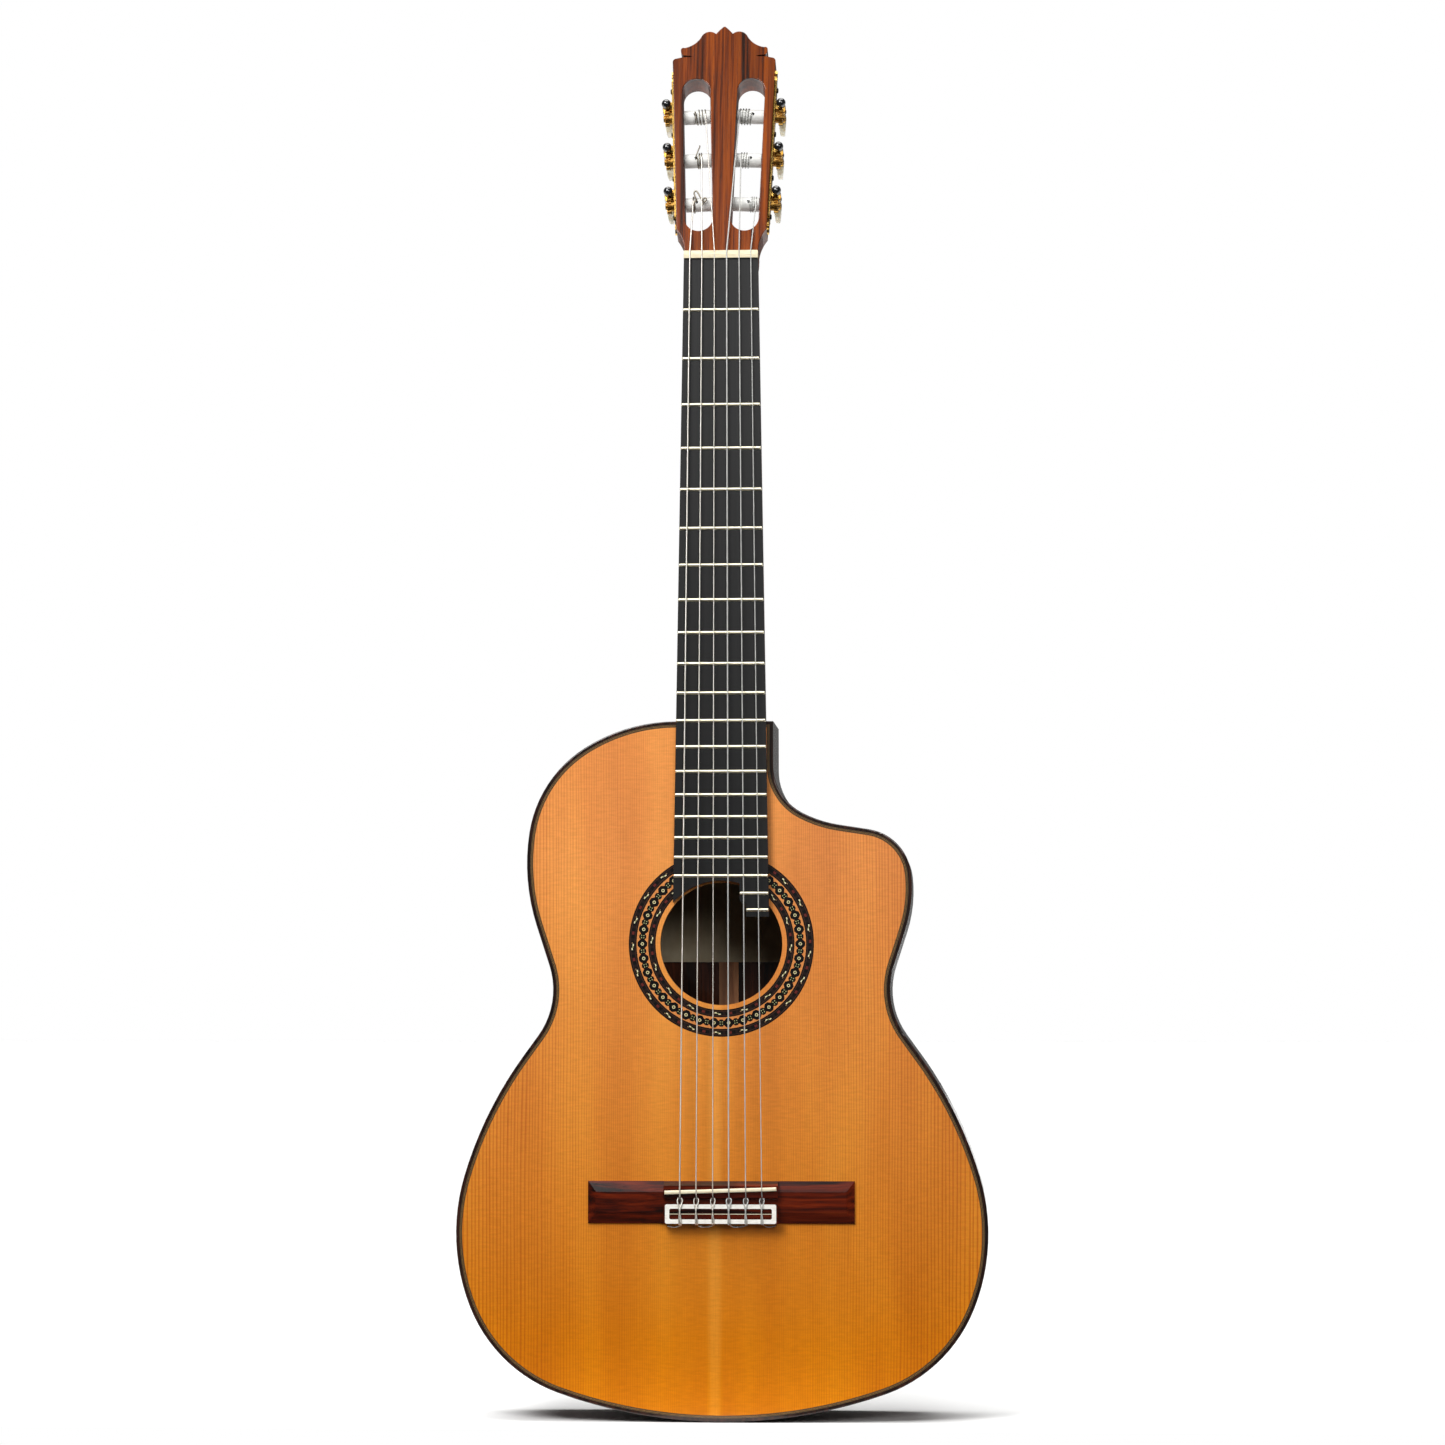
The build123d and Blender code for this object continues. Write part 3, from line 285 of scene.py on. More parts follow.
# %% Neck, linings and braces
neck_cedar = rosewood("cedar_neck_satin", ["#47200F", "#6A331A", "#7C3F20", "#8A4A29"], streak_mm=11.0,
                      rough=0.36, coat=0.3, seed=2.1, pores=0.45)
inner_cedar = rosewood("cedar_bare_sanded", ["#7A4A2A", "#96603A", "#A66F46", "#B27D54"], streak_mm=9.0,
                       rough=0.62, coat=0.0, seed=6.4, pores=0.3)
inner_spruce = rosewood("spruce_bare_sanded", ["#B98F5C", "#CFA873", "#DAB682", "#E2C293"], streak_mm=2.5,
                        rough=0.6, coat=0.0, seed=8.8, pores=0.15)

# %% [markdown]
# ## The soundboard
# A soundboard is two halves of one board, opened like a book, so its growth rings mirror about the centre
# line. They are close at the centre and wide at the edges. A ring is pale where the tree grew fast and ends in
# a thin dark line. Ring number is the integral of 1 / spacing, which for a spacing that grows evenly with
# distance is a logarithm, so a few Math nodes give every ring its true place. Over that lie long fibres, the
# silky cross figure of quarter-sawn wood, a pale strip beside the joint, painted light that makes the wood
# evenly brighter and greyer from the tail to the shoulders, and a glossy lacquer.


# %% Cedar soundboard under lacquer
def soundboard_cedar():
    ring_centre_mm = 1.0
    ring_edge_mm = 2.8
    half_width_mm = 184.5
    drift_mm = 7.0
    strip_at_mm = -4.5
    tail, shoulder = -0.78, -0.42
    growth = (ring_edge_mm - ring_centre_mm) / half_width_mm
    material, tree, surface, place = start("cedar_soundboard_lacquered", coat_weight=0.85, coat_roughness=0.12,
                                           ior=1.5)
    surface.inputs["Specular IOR Level"].default_value = 0.12
    axes = add(tree, "ShaderNodeSeparateXYZ", {}, {0: place})
    across = add(tree, "ShaderNodeMath", {"operation": "MULTIPLY", 1: 1 / MM}, {0: axes.outputs["X"]})
    drift = grain(tree, place, (83.3, 1000.0, 455.0), 2.0)
    leaned = add(tree, "ShaderNodeMath", {"operation": "MULTIPLY_ADD", 1: drift_mm}, {0: drift, 2: across})
    distance = add(tree, "ShaderNodeMath", {"operation": "ABSOLUTE"}, {0: leaned})
    spread = add(tree, "ShaderNodeMath", {"operation": "MULTIPLY_ADD", 1: growth / ring_centre_mm, 2: 1.0},
                 {0: distance})
    log = add(tree, "ShaderNodeMath", {"operation": "LOGARITHM", 1: math.e}, {0: spread})
    count = add(tree, "ShaderNodeMath", {"operation": "MULTIPLY", 1: 1 / growth}, {0: log})
    uneven = grain(tree, place, (6.25, 1000.0, 625.0), 2.0, shift=(3.0, 0, 0))
    number = add(tree, "ShaderNodeMath", {"operation": "MULTIPLY_ADD", 1: 1.6}, {0: uneven, 2: count})
    ring = add(tree, "ShaderNodeMath", {"operation": "FRACT"}, {0: number})
    line = stops(add(tree, "ShaderNodeValToRGB", {}, {"Fac": ring}),
                 [(0.0, "#000000"), (0.5, "#2A2A2A"), (0.84, "#FFFFFF"), (1.0, "#101010")])
    grown = add(tree, "ShaderNodeMapRange", {"From Max": half_width_mm, "To Min": 0.18, "To Max": 0.75},
                {"Value": distance})
    darkened = add(tree, "ShaderNodeMath", {"operation": "MULTIPLY"}, {0: line.outputs["Color"], 1: grown})

    fibre = grain(tree, place, (0.35, 1000.0, 22.0), 3.0, 0.6)
    silk = grain(tree, place, (9.0, 1000.0, 1.6), 3.0, 0.65)
    patch = grain(tree, place, (55.6, 1000.0, 333.3), 3.0)

    ground = stops(add(tree, "ShaderNodeValToRGB", {}, {"Fac": patch}),
                   [(0.3, "#C87114"), (0.5, "#D57E19"), (0.7, "#DE8B20")])
    beside = add(tree, "ShaderNodeMath", {"operation": "SUBTRACT", 1: strip_at_mm}, {0: across})
    strip = add(tree, "ShaderNodeMath", {"operation": "ABSOLUTE"}, {0: beside})
    paler = add(tree, "ShaderNodeMapRange", {"From Min": 2.0, "From Max": 6.0, "To Min": 0.5, "To Max": 0.0},
                {"Value": strip})
    streaked = add(tree, "ShaderNodeMix", {"data_type": "RGBA", 7: colour("#E89C38")},
                   {0: paler, 6: ground.outputs["Color"]})
    late = add(tree, "ShaderNodeMix", {"data_type": "RGBA", "blend_type": "MULTIPLY", 7: colour("#C99360")},
               {0: darkened, 6: streaked.outputs[2]})
    gleam = add(tree, "ShaderNodeMapRange", {"From Min": 0.35, "From Max": 0.65, "To Min": 0.93,
                                             "To Max": 1.07}, {"Value": silk})
    fine = add(tree, "ShaderNodeMapRange", {"From Min": 0.3, "From Max": 0.7, "To Min": 0.93, "To Max": 1.06},
               {"Value": fibre})
    # painted light: from the tail up to the shoulders the wood turns brighter and greyer, like the falloff of a
    # light from above
    painted_light_falloff, painted_light_greying = (add(tree, "ShaderNodeMapRange", {"From Min": tail, "From Max": shoulder, "To Min": low,
                                                        "To Max": high}, {"Value": axes.outputs["Z"]})
                       for low, high in ((0.88, 1.1), (1.02, 0.93)))
    silky = add(tree, "ShaderNodeMath", {"operation": "MULTIPLY"}, {0: gleam, 1: fine})
    shaded = add(tree, "ShaderNodeMath", {"operation": "MULTIPLY"}, {0: silky, 1: painted_light_falloff})
    toned = add(tree, "ShaderNodeHueSaturation", {}, {"Color": late.outputs[2], "Value": shaded,
                                                      "Saturation": painted_light_greying})
    surfaced(tree, surface, toned.outputs[0], silk, (0.34, 0.5), (line.outputs["Color"], 0.02, 0.2))
    return material


soundboard = soundboard_cedar()
print("soundboard made")

# %% [markdown]
# ## The fingerboard's ebony
# Ebony is so dense that its grain hardly shows: a near-black ground, faint grey-brown streaks and fine short
# pores, oiled and not lacquered, so it has a dull sheen and no coat.


# %% Oiled ebony
def ebony():
    material, tree, surface, place = start("ebony_oiled", ior=1.5)
    surface.inputs["Specular IOR Level"].default_value = 0.27
    streak = grain(tree, place, (5.0, 5.0, 140.0), 4.0)
    pore = grain(tree, place, (0.4, 0.4, 5.0), 3.0)
    ground = stops(add(tree, "ShaderNodeValToRGB", {}, {"Fac": streak}),
                   [(0.3, "#080808"), (0.55, "#0E0E0F"), (0.8, "#151413")])
    dash = add(tree, "ShaderNodeMapRange", {"From Min": 0.58, "From Max": 0.72, "To Max": 0.7}, {"Value": pore})
    mixed = add(tree, "ShaderNodeMix", {"data_type": "RGBA", 7: colour("#0C0C0C")},
                {0: dash, 6: ground.outputs["Color"]})
    surfaced(tree, surface, mixed.outputs[2], pore, (0.3, 0.52), (pore, 0.02, 0.3))
    return material


fingerboard_ebony = ebony()

# %% [markdown]
# ## Metals
# Fret wire is nickel silver, polished along its crown; the machines are gold plated; the strings' windings are
# silver plated copper. A metal is fully metallic, its colour is the tint of its reflection, and what makes it
# look real is uneven roughness: handling leaves it bright in some places and smeared in others.


# %% Polished and plated metal
def metal(name, code, rough, smear_mm=(2.0, 2.0, 2.0), wear=0.12, dents=0.01):
    """Smears and wear vary the polish; dents are the depth of the relief in millimetres."""
    material, tree, surface, place = start(name, metallic=1.0)
    smear = grain(tree, place, smear_mm, 4.0, 0.6)
    tint = add(tree, "ShaderNodeMapRange", {"To Min": 0.86, "To Max": 1.04}, {"Value": smear})
    shade = add(tree, "ShaderNodeHueSaturation", {"Color": colour(code)}, {"Value": tint})
    surfaced(tree, surface, shade.outputs[0], smear, (rough - wear / 2, rough + wear), (smear, dents, 0.3))
    return material


fret_metal = metal("nickel_silver_polished", "#E6DFC6", 0.34, smear_mm=(9.0, 2.0, 2.0), wear=0.06, dents=0.002)
gold_plate = metal("gold_plate_polished", "#DDB15C", 0.2)
gold_worm = metal("gold_plate_turned", "#A87C30", 0.26, smear_mm=(0.5, 0.5, 0.5))
brass = metal("brass_machined", "#A37C3E", 0.32, smear_mm=(0.6, 0.6, 0.6))


# %% Blackened screws and the worms' black balls
def black(name, low, high, grit_mm, detail, dull, **shader):
    material, tree, surface, place = start(name, **shader)
    grit = grain(tree, place, [grit_mm] * 3, detail)
    shade = stops(add(tree, "ShaderNodeValToRGB", {}, {"Fac": grit}), [(0.3, low), (0.7, high)])
    surfaced(tree, surface, shade.outputs["Color"], grit, dull)
    return material


screw_steel = black("steel_blackened", "#1B1A19", "#37332F", 0.8, 4.0, (0.25, 0.45), metallic=1.0)
ball_black = black("lacquer_black_gloss", "#0B0B0C", "#18181A", 1.5, 5.0, (0.14, 0.3), coat_weight=1.0,
                   coat_roughness=0.04, ior=1.5)

# %% [markdown]
# ## Bone, plastic and pearl
# Nut, saddle and the frame on the tie block are bone: dense, cream white, with faint grey-brown flecks along
# its length and a waxy polish. The rollers are plain white plastic. The buttons imitate pearl: layered plastic
# with cloudy bands, which a noise bent by another noise gives, and with some light passing through.


# %% Bone and roller plastic
def pale_solid(name, low, high, fleck_mm, rough, coat=0.0, through=0.0):
    """A pale, slightly uneven solid with a soft polish."""
    material, tree, surface, place = start(name, coat_weight=coat, coat_roughness=0.1, ior=1.5,
                                           subsurface_weight=through)
    surface.inputs["Subsurface Radius"].default_value = (1.0, 0.8, 0.6)
    surface.inputs["Subsurface Scale"].default_value = 1.0 * MM
    fleck = grain(tree, place, fleck_mm, 5.0, 0.65)
    shade = stops(add(tree, "ShaderNodeValToRGB", {}, {"Fac": fleck}), [(0.3, low), (0.6, high)])
    surfaced(tree, surface, shade.outputs["Color"], fleck, (rough - 0.08, rough + 0.1), (fleck, 0.01, 0.3))
    return material


nut_bone = pale_solid("bone_nut_polished", "#C3B692", "#D8CDAE", (5.0, 0.8, 0.8), 0.35, through=0.1)
saddle_bone = pale_solid("bone_saddle_polished", "#DDD0AC", "#EFE6CA", (5.0, 0.8, 0.8), 0.32, through=0.1)
frame_bone = pale_solid("bone_inlay_polished", "#E9E5DA", "#FBF9F2", (4.0, 0.8, 0.8), 0.3, coat=0.5)
roller_white = pale_solid("plastic_white_moulded", "#B9B9B5", "#CFCFCB", (3.0, 1.5, 1.5), 0.38)


# %% Pearl buttons
def pearl():
    material, tree, surface, place = start("pearl_plastic_polished", coat_weight=1.0, coat_roughness=0.05,
                                           ior=1.53, subsurface_weight=0.3)
    surface.inputs["Subsurface Radius"].default_value = (1.0, 0.85, 0.7)
    surface.inputs["Subsurface Scale"].default_value = 2.0 * MM
    broad = add(tree, "ShaderNodeMapping", {"Scale": [1 / (6 * MM)] * 3}, {"Vector": place})
    stir = add(tree, "ShaderNodeTexNoise", {"Scale": 1.0, "Detail": 3.0}, {"Vector": broad})
    pushed = add(tree, "ShaderNodeVectorMath", {"operation": "SCALE", "Scale": 3.0}, {0: stir.outputs["Color"]})
    swirled = add(tree, "ShaderNodeVectorMath", {"operation": "ADD"}, {0: broad, 1: pushed})
    cloud = add(tree, "ShaderNodeTexNoise", {"Scale": 1.3, "Detail": 4.0}, {"Vector": swirled})
    shade = stops(add(tree, "ShaderNodeValToRGB", {}, {"Fac": cloud}),
                  [(0.3, "#DCCFA8"), (0.5, "#F0E7CB"), (0.7, "#FBF7E9")])
    surfaced(tree, surface, shade.outputs["Color"], cloud, (0.2, 0.34))
    return material


button_pearl = pearl()

# %% [markdown]
# ## Nylon and windings
# The three treble strings are clear nylon, which at this thickness looks like grey glass. The three bass
# strings are silver plated wire wound round nylon floss. A real winding is 0.15 to 0.2 mm wide, too fine to
# show, so it is drawn 0.5 mm wide, with painted shade in the grooves between its turns. Stretched, nylon looks
# milky and the wire bright; round a roller the nylon is made clearer, and the wire gets a darker copy of its
# finish, painted shade for the turns in the headstock's slots, so each has a second finish for its turns.


# %% Clear nylon
def clear_nylon(name, through):
    """Nylon that lets through so much of the light, from 0 to 1."""
    material, tree, surface, place = start(name, ior=1.53, transmission_weight=through)
    drawn = grain(tree, place, (1.0, 1.0, 6.0), 3.0)
    shade = stops(add(tree, "ShaderNodeValToRGB", {}, {"Fac": drawn}), [(0.3, "#C9C9C6"), (0.7, "#E4E4E0")])
    surfaced(tree, surface, shade.outputs["Color"], drawn, (0.12, 0.26))
    return material


# %% Silver winding
def silver_winding(name, low, high):
    """Wire with a darker colour painted between its turns as their shade, and a brighter one on their crowns.
    """
    winding_mm = 0.5
    material, tree, surface, place = start(name, metallic=1.0)
    axes = add(tree, "ShaderNodeSeparateXYZ", {}, {0: place})
    turn = add(tree, "ShaderNodeMath", {"operation": "MULTIPLY", 1: 2 * math.pi / (winding_mm * MM)},
               {0: axes.outputs["Z"]})
    wave = add(tree, "ShaderNodeMath", {"operation": "SINE"}, {0: turn})
    height = add(tree, "ShaderNodeMapRange", {"From Min": -1.0}, {"Value": wave})
    # painted shade: the grooves between the turns are darker in colour than the crowns, on top of the relief
    shade = stops(add(tree, "ShaderNodeValToRGB", {}, {"Fac": height}), [(0.0, low), (0.5, high)])
    tarnish = grain(tree, place, [12.0] * 3, 4.0)
    surfaced(tree, surface, shade.outputs["Color"], tarnish, (0.34, 0.5), (height, 0.08, 0.6))
    return material


nylon = clear_nylon("nylon_drawn", 0.45)
wet_nylon = clear_nylon("nylon_clear", 0.96)
wound_silver = silver_winding("silver_wound_bright", "#A39C92", "#F1EDE4")
# a darker copy of the winding: painted shade for the turns and tails in the headstock's slots
shaded_silver = silver_winding("silver_wound_painted_shade", "#4E483F", "#9A9284")
string_finish = {n: nylon if n <= 3 else wound_silver for n in STRINGS}
turns_finish = {n: wet_nylon if n <= 3 else shaded_silver for n in STRINGS}
print("metals, bone, pearl and strings' finishes made")

# %% [markdown]
# ## The rosette
# The ring round the soundhole is a mosaic of tiny sticks of dyed wood, glued into a log, sliced and let into
# the top. Two dark bands carry dashes and red blocks, and the field between them carries a chain of beads, big
# and small by turns. It could be modelled stick by stick, but it is flush under the lacquer, so it is a flat
# pattern: distance from the hole's centre picks the band, and the angle round it picks the place in the repeat.


# %% Mosaic in polar coordinates
def polar(tree, place):
    """Distance from the hole's centre in millimetres, and turns round it, from 0 to 1."""
    moved = add(tree, "ShaderNodeMapping", {"Location": (0, 0, -HOLE_Z), "Scale": [1 / MM] * 3},
                {"Vector": place})
    axes = add(tree, "ShaderNodeSeparateXYZ", {}, {0: moved})
    flat = add(tree, "ShaderNodeCombineXYZ", {}, {0: axes.outputs["X"], 1: axes.outputs["Z"]})
    radius = add(tree, "ShaderNodeVectorMath", {"operation": "LENGTH"}, {0: flat})
    angle = add(tree, "ShaderNodeMath", {"operation": "ARCTAN2"}, {0: axes.outputs["X"], 1: axes.outputs["Z"]})
    turn = add(tree, "ShaderNodeMath", {"operation": "MULTIPLY_ADD", 1: 1 / (2 * math.pi), 2: 0.5}, {0: angle})
    return radius.outputs["Value"], turn


def between(tree, value, low, high):
    """1 where a value lies between two limits, and 0 elsewhere."""
    above = add(tree, "ShaderNodeMath", {"operation": "GREATER_THAN", 1: low}, {0: value})
    below = add(tree, "ShaderNodeMath", {"operation": "LESS_THAN", 1: high}, {0: value})
    return add(tree, "ShaderNodeMath", {"operation": "MULTIPLY"}, {0: above, 1: below})


def laid(tree, ground, code, mask, also=None):
    """Lay a stick of one colour over what is there already, where the mask, or both masks, are 1."""
    if also is not None:
        mask = add(tree, "ShaderNodeMath", {"operation": "MULTIPLY"}, {0: mask, 1: also})
    mixed = add(tree, "ShaderNodeMix", {"data_type": "RGBA", 7: colour(code)}, {0: mask, 6: ground})
    return mixed.outputs[2]


def repeat(tree, turn, count, shift=0.0):
    """Where we are in a pattern that repeats round the ring, from 0 to 1."""
    many = add(tree, "ShaderNodeMath", {"operation": "MULTIPLY_ADD", 1: count, 2: shift}, {0: turn})
    return add(tree, "ShaderNodeMath", {"operation": "FRACT"}, {0: many})


# one repeat of a dark band: each stick's begin and end round it, its inner and outer edge across it, its colour
STICKS = ((0.36, 0.46, 0.26, 0.74, "#1E1311"), (0.84, 0.94, 0.26, 0.74, "#1E1311"),
          (0.60, 0.72, 0.36, 0.66, "#5E231F"), (0.02, 0.10, 0.52, 0.66, "#E2D9AE"),
          (0.10, 0.17, 0.42, 0.56, "#8C8A5E"), (0.17, 0.25, 0.36, 0.50, "#E2D9AE"),
          (0.25, 0.31, 0.50, 0.62, "#8A6A4C"))


def dark_band(tree, ground, radius, turn, low, high, count):
    """A band with fine edge lines, cream dashes in pairs and dark red blocks."""
    wide = high - low
    part = repeat(tree, turn, count)
    ground = laid(tree, ground, "#0A0706", between(tree, radius, low, high))
    for inner, outer in ((0.17, 0.26), (0.74, 0.83)):
        ground = laid(tree, ground, "#38241C", between(tree, radius, low + inner * wide, low + outer * wide))
    for begin, end, inner, outer, code in STICKS:
        ground = laid(tree, ground, code, between(tree, part, begin, end),
                      between(tree, radius, low + inner * wide, low + outer * wide))
    return ground


def bead_chain(tree, ground, radius, turn, middle, count):
    """Big and small beads by turns, eight-sided. A ring is its reach in millimetres and its colour; the small
    bead's four dots are so far from its centre, of such a radius, and of one colour."""
    pitch = 2 * math.pi * middle / count
    out = add(tree, "ShaderNodeMath", {"operation": "SUBTRACT", 1: middle}, {0: radius})
    out = add(tree, "ShaderNodeMath", {"operation": "ABSOLUTE"}, {0: out})
    for shift, rings, dots in ((0.0, ((3.4, "#070505"), (1.15, "#CFC594"), (0.6, "#070505")), None),
                               (0.5, ((2.5, "#070505"),), (0.8, 0.36, "#A9AD78"))):
        part = repeat(tree, turn, count, shift)
        along = add(tree, "ShaderNodeMath", {"operation": "MULTIPLY_ADD", 1: pitch, 2: -pitch / 2}, {0: part})
        along = add(tree, "ShaderNodeMath", {"operation": "ABSOLUTE"}, {0: along})
        side = add(tree, "ShaderNodeMath", {"operation": "MAXIMUM"}, {0: along, 1: out})
        slant = add(tree, "ShaderNodeMath", {"operation": "ADD"}, {0: along, 1: out})
        slant = add(tree, "ShaderNodeMath", {"operation": "MULTIPLY", 1: 0.74}, {0: slant})
        eight = add(tree, "ShaderNodeMath", {"operation": "MAXIMUM"}, {0: side, 1: slant})
        for reach, code in rings:
            ground = laid(tree, ground, code, add(tree, "ShaderNodeMath", {"operation": "LESS_THAN", 1: reach},
                                                  {0: eight}))
        if dots:
            off, size, code = dots
            spot = add(tree, "ShaderNodeCombineXYZ", {}, {0: along, 1: out})
            apart = add(tree, "ShaderNodeVectorMath", {"operation": "DISTANCE", 1: (off, off, 0)}, {0: spot})
            dot = add(tree, "ShaderNodeMath", {"operation": "LESS_THAN", 1: size}, {0: apart.outputs["Value"]})
            ground = laid(tree, ground, code, dot)
    return ground


def rosette_mosaic():
    material, tree, surface, place = start("mosaic_rosette_lacquered", coat_weight=0.85, coat_roughness=0.08,
                                           ior=1.5)
    surface.inputs["Specular IOR Level"].default_value = 0.12
    radius, turn = polar(tree, place)
    speckle = grain(tree, place, [0.7] * 3, 3.0)
    field = stops(add(tree, "ShaderNodeValToRGB", {}, {"Fac": speckle}),
                  [(0.3, "#C07038"), (0.5, "#CF8346"), (0.7, "#DE9755")])
    ground = bead_chain(tree, field.outputs["Color"], radius, turn, (FIELD_IN + FIELD_OUT) / 2, 34)
    ground = dark_band(tree, ground, radius, turn, ROSETTE_IN, FIELD_IN, 16)
    ground = dark_band(tree, ground, radius, turn, FIELD_OUT, ROSETTE_OUT, 21)
    value = add(tree, "ShaderNodeMapRange", {"To Min": 0.85, "To Max": 1.15}, {"Value": speckle})
    varied = add(tree, "ShaderNodeHueSaturation", {}, {"Color": ground, "Value": value})
    surfaced(tree, surface, varied.outputs[0], speckle, (0.3, 0.45), (speckle, 0.01, 0.2))
    return material


rosette = rosette_mosaic()
print("rosette made")

# %% [markdown]
# ## Purfling
# Between the binding and the soundboard run thin lines of black and grey-brown wood. A pattern in x and z can't
# follow a curved edge, so the piece gets a value at each corner: 0 on the outer edge and 1 on the inner one.
# Its mesh has corners on those two edges only, so the value grows evenly across the band, and a colour ramp
# turns it into lines.


# %% Lines that follow the edge
def purfling_lines():
    material, tree, surface, place = start("purfling_lines_lacquered", coat_weight=0.8, coat_roughness=0.08,
                                           ior=1.5)
    surface.inputs["Specular IOR Level"].default_value = 0.15
    across = add(tree, "ShaderNodeAttribute", {"attribute_name": "across"})
    line = stops(add(tree, "ShaderNodeValToRGB", {}, {"Fac": across.outputs["Fac"]}),
                 [(0.0, "#120C0A"), (0.20, "#7E6444"), (0.30, "#140D0A"), (0.50, "#A07C4A"), (0.60, "#140D0A"),
                  (0.78, "#7E6444"), (0.88, "#120C0A")], "CONSTANT")
    fleck = grain(tree, place, [1.2] * 3, 3.0)
    value = add(tree, "ShaderNodeMapRange", {"To Min": 0.75, "To Max": 1.2}, {"Value": fleck})
    varied = add(tree, "ShaderNodeHueSaturation", {}, {"Color": line.outputs["Color"], "Value": value})
    surfaced(tree, surface, varied.outputs[0], fleck, (0.28, 0.42), (fleck, 0.01, 0.2))
    return material


def surface_tree(node):
    """A search tree over a CAD node's surface."""
    return BVHTree.FromObject(nodes[node], bpy.context.evaluated_depsgraph_get())


def make_purfling():
    """A copy of the CAD band, with its corners merged and the value across it stored."""
    bm = bmesh.new()
    bm.from_mesh(nodes["purfling_top"].data)
    bmesh.ops.remove_doubles(bm, verts=bm.verts, dist=0.001 * MM)
    bmesh.ops.scale(bm, vec=(1 / MM, 1 / MM, 1 / MM), verts=bm.verts)
    binding = surface_tree("binding_top")
    layer = bm.verts.layers.float.new("across")
    inner = 0
    for corner in bm.verts:
        gap = binding.find_nearest(corner.co * MM)[3]
        corner[layer] = 1.0 if gap > PURFLING * MM / 2 else 0.0
        inner += gap > PURFLING * MM / 2
    print("purfling corners", len(bm.verts), "on the inner edge", inner)
    piece = finished(bm, "purfling_lines", "guitar", purfling_lines(), 30)
    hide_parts("purfling_top")


make_purfling()

# %% [markdown]
# ## Each CAD piece gets its finish
# A node keeps its exact CAD shape and only takes a material.

# %% Finishes for the CAD nodes
FINISHES = {
    "soundboard_bass": soundboard, "soundboard_treble": soundboard, "rosette": rosette,
    "binding_top": binding_wood, "binding_back": binding_wood, "tail_graft": binding_wood,
    "back_bass": back_rosewood, "back_treble": back_rosewood, "heel_cap": back_rosewood,
    "rib_bass": side_rosewood, "rib_treble": side_rosewood,
    "back_centre_strip": inner_cedar, "back_braces": inner_cedar, "linings": inner_cedar,
    "soundboard_braces": inner_spruce, "soundhole_doubler": inner_spruce,
    "neck": neck_cedar, "tail_block": neck_cedar, "headstock_plate": head_rosewood,
    "fingerboard": fingerboard_ebony, "frets": fret_metal, "nut": nut_bone, "saddle": saddle_bone,
    "bridge": bridge_rosewood, "tie_block_frame": frame_bone,
    "tuner_plates": gold_plate, "plate_screws": screw_steel,
}
for number in STRINGS:
    FINISHES[f"tuner_button_{number}"] = button_pearl
    FINISHES[f"string_roller_{number}"] = roller_white
    FINISHES[f"tuner_wheel_{number}"] = brass
for node, finish in FINISHES.items():
    nodes[node].data.materials.clear()
    nodes[node].data.materials.append(finish)
print("finished CAD nodes", len(FINISHES))

# %% [markdown]
# ## Worms, ferrules and balls
# Under each button runs a turned shaft: gold rings over a black core, a collar, the worm with its helical
# thread, and a black ball on the front end. Turned parts are discs on one axis, so each is a cylinder with two
# rounded rims. The thread is one small cross-section that `spin` carries round the axis while it moves it
# along: a screw.

# %% Sizes along a worm's axis
FERRULE_LOW, FERRULE_HIGH = -20.0, -7.0
RING_TOP, RING_STEP, RING_TALL = -8.4, 3.1, 1.3
THREAD_LOW, THREAD_LEAD, THREAD_TURNS = -2.5, 2.0, 2.5
THREAD_ROOT, THREAD_CREST, THREAD_STEPS = 0.62, 0.2, 24
SHAFT_R, CORE_R, RING_R, THREAD_R = 1.5, 1.8, 2.75, 3.05
BALL_AT, BALL_R, NECK_R, BLACK_CORE_R = 8.5, 3.3, 2.0, 2.2


# %% Make the six worms and balls
def make_worm(number):
    bm = bmesh.new()
    turned(bm, SHAFT_R, FERRULE_LOW - 4, BALL_AT - 1, 0)
    turned(bm, CORE_R, -3.4, 3.4, 0.15)
    turned(bm, 2.5, FERRULE_LOW, FERRULE_LOW + 0.9, 0.25)
    for ring in range(4):
        high = RING_TOP - ring * RING_STEP
        turned(bm, RING_R, high - RING_TALL, high, 0.4)
    root = CORE_R - 0.2
    section = bm.faces.new([bm.verts.new((out, 0, along + THREAD_LOW)) for out, along in (
        (root, -THREAD_ROOT), (THREAD_R, -THREAD_CREST), (THREAD_R, THREAD_CREST), (root, THREAD_ROOT))])
    bmesh.ops.spin(bm, geom=[section, *section.edges, *section.verts], cent=(0, 0, 0), axis=(0, 0, 1),
                   dvec=(0, 0, THREAD_LEAD / THREAD_STEPS), angle=2 * math.pi * THREAD_TURNS,
                   steps=int(THREAD_STEPS * THREAD_TURNS), use_merge=False)
    bmesh.ops.transform(bm, matrix=millimetres(at_knob(number)), verts=bm.verts)
    piece = finished(bm, f"worm_and_ferrule_{number}", f"knob_{number}", gold_worm)
    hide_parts(f"tuner_worm_{number}")


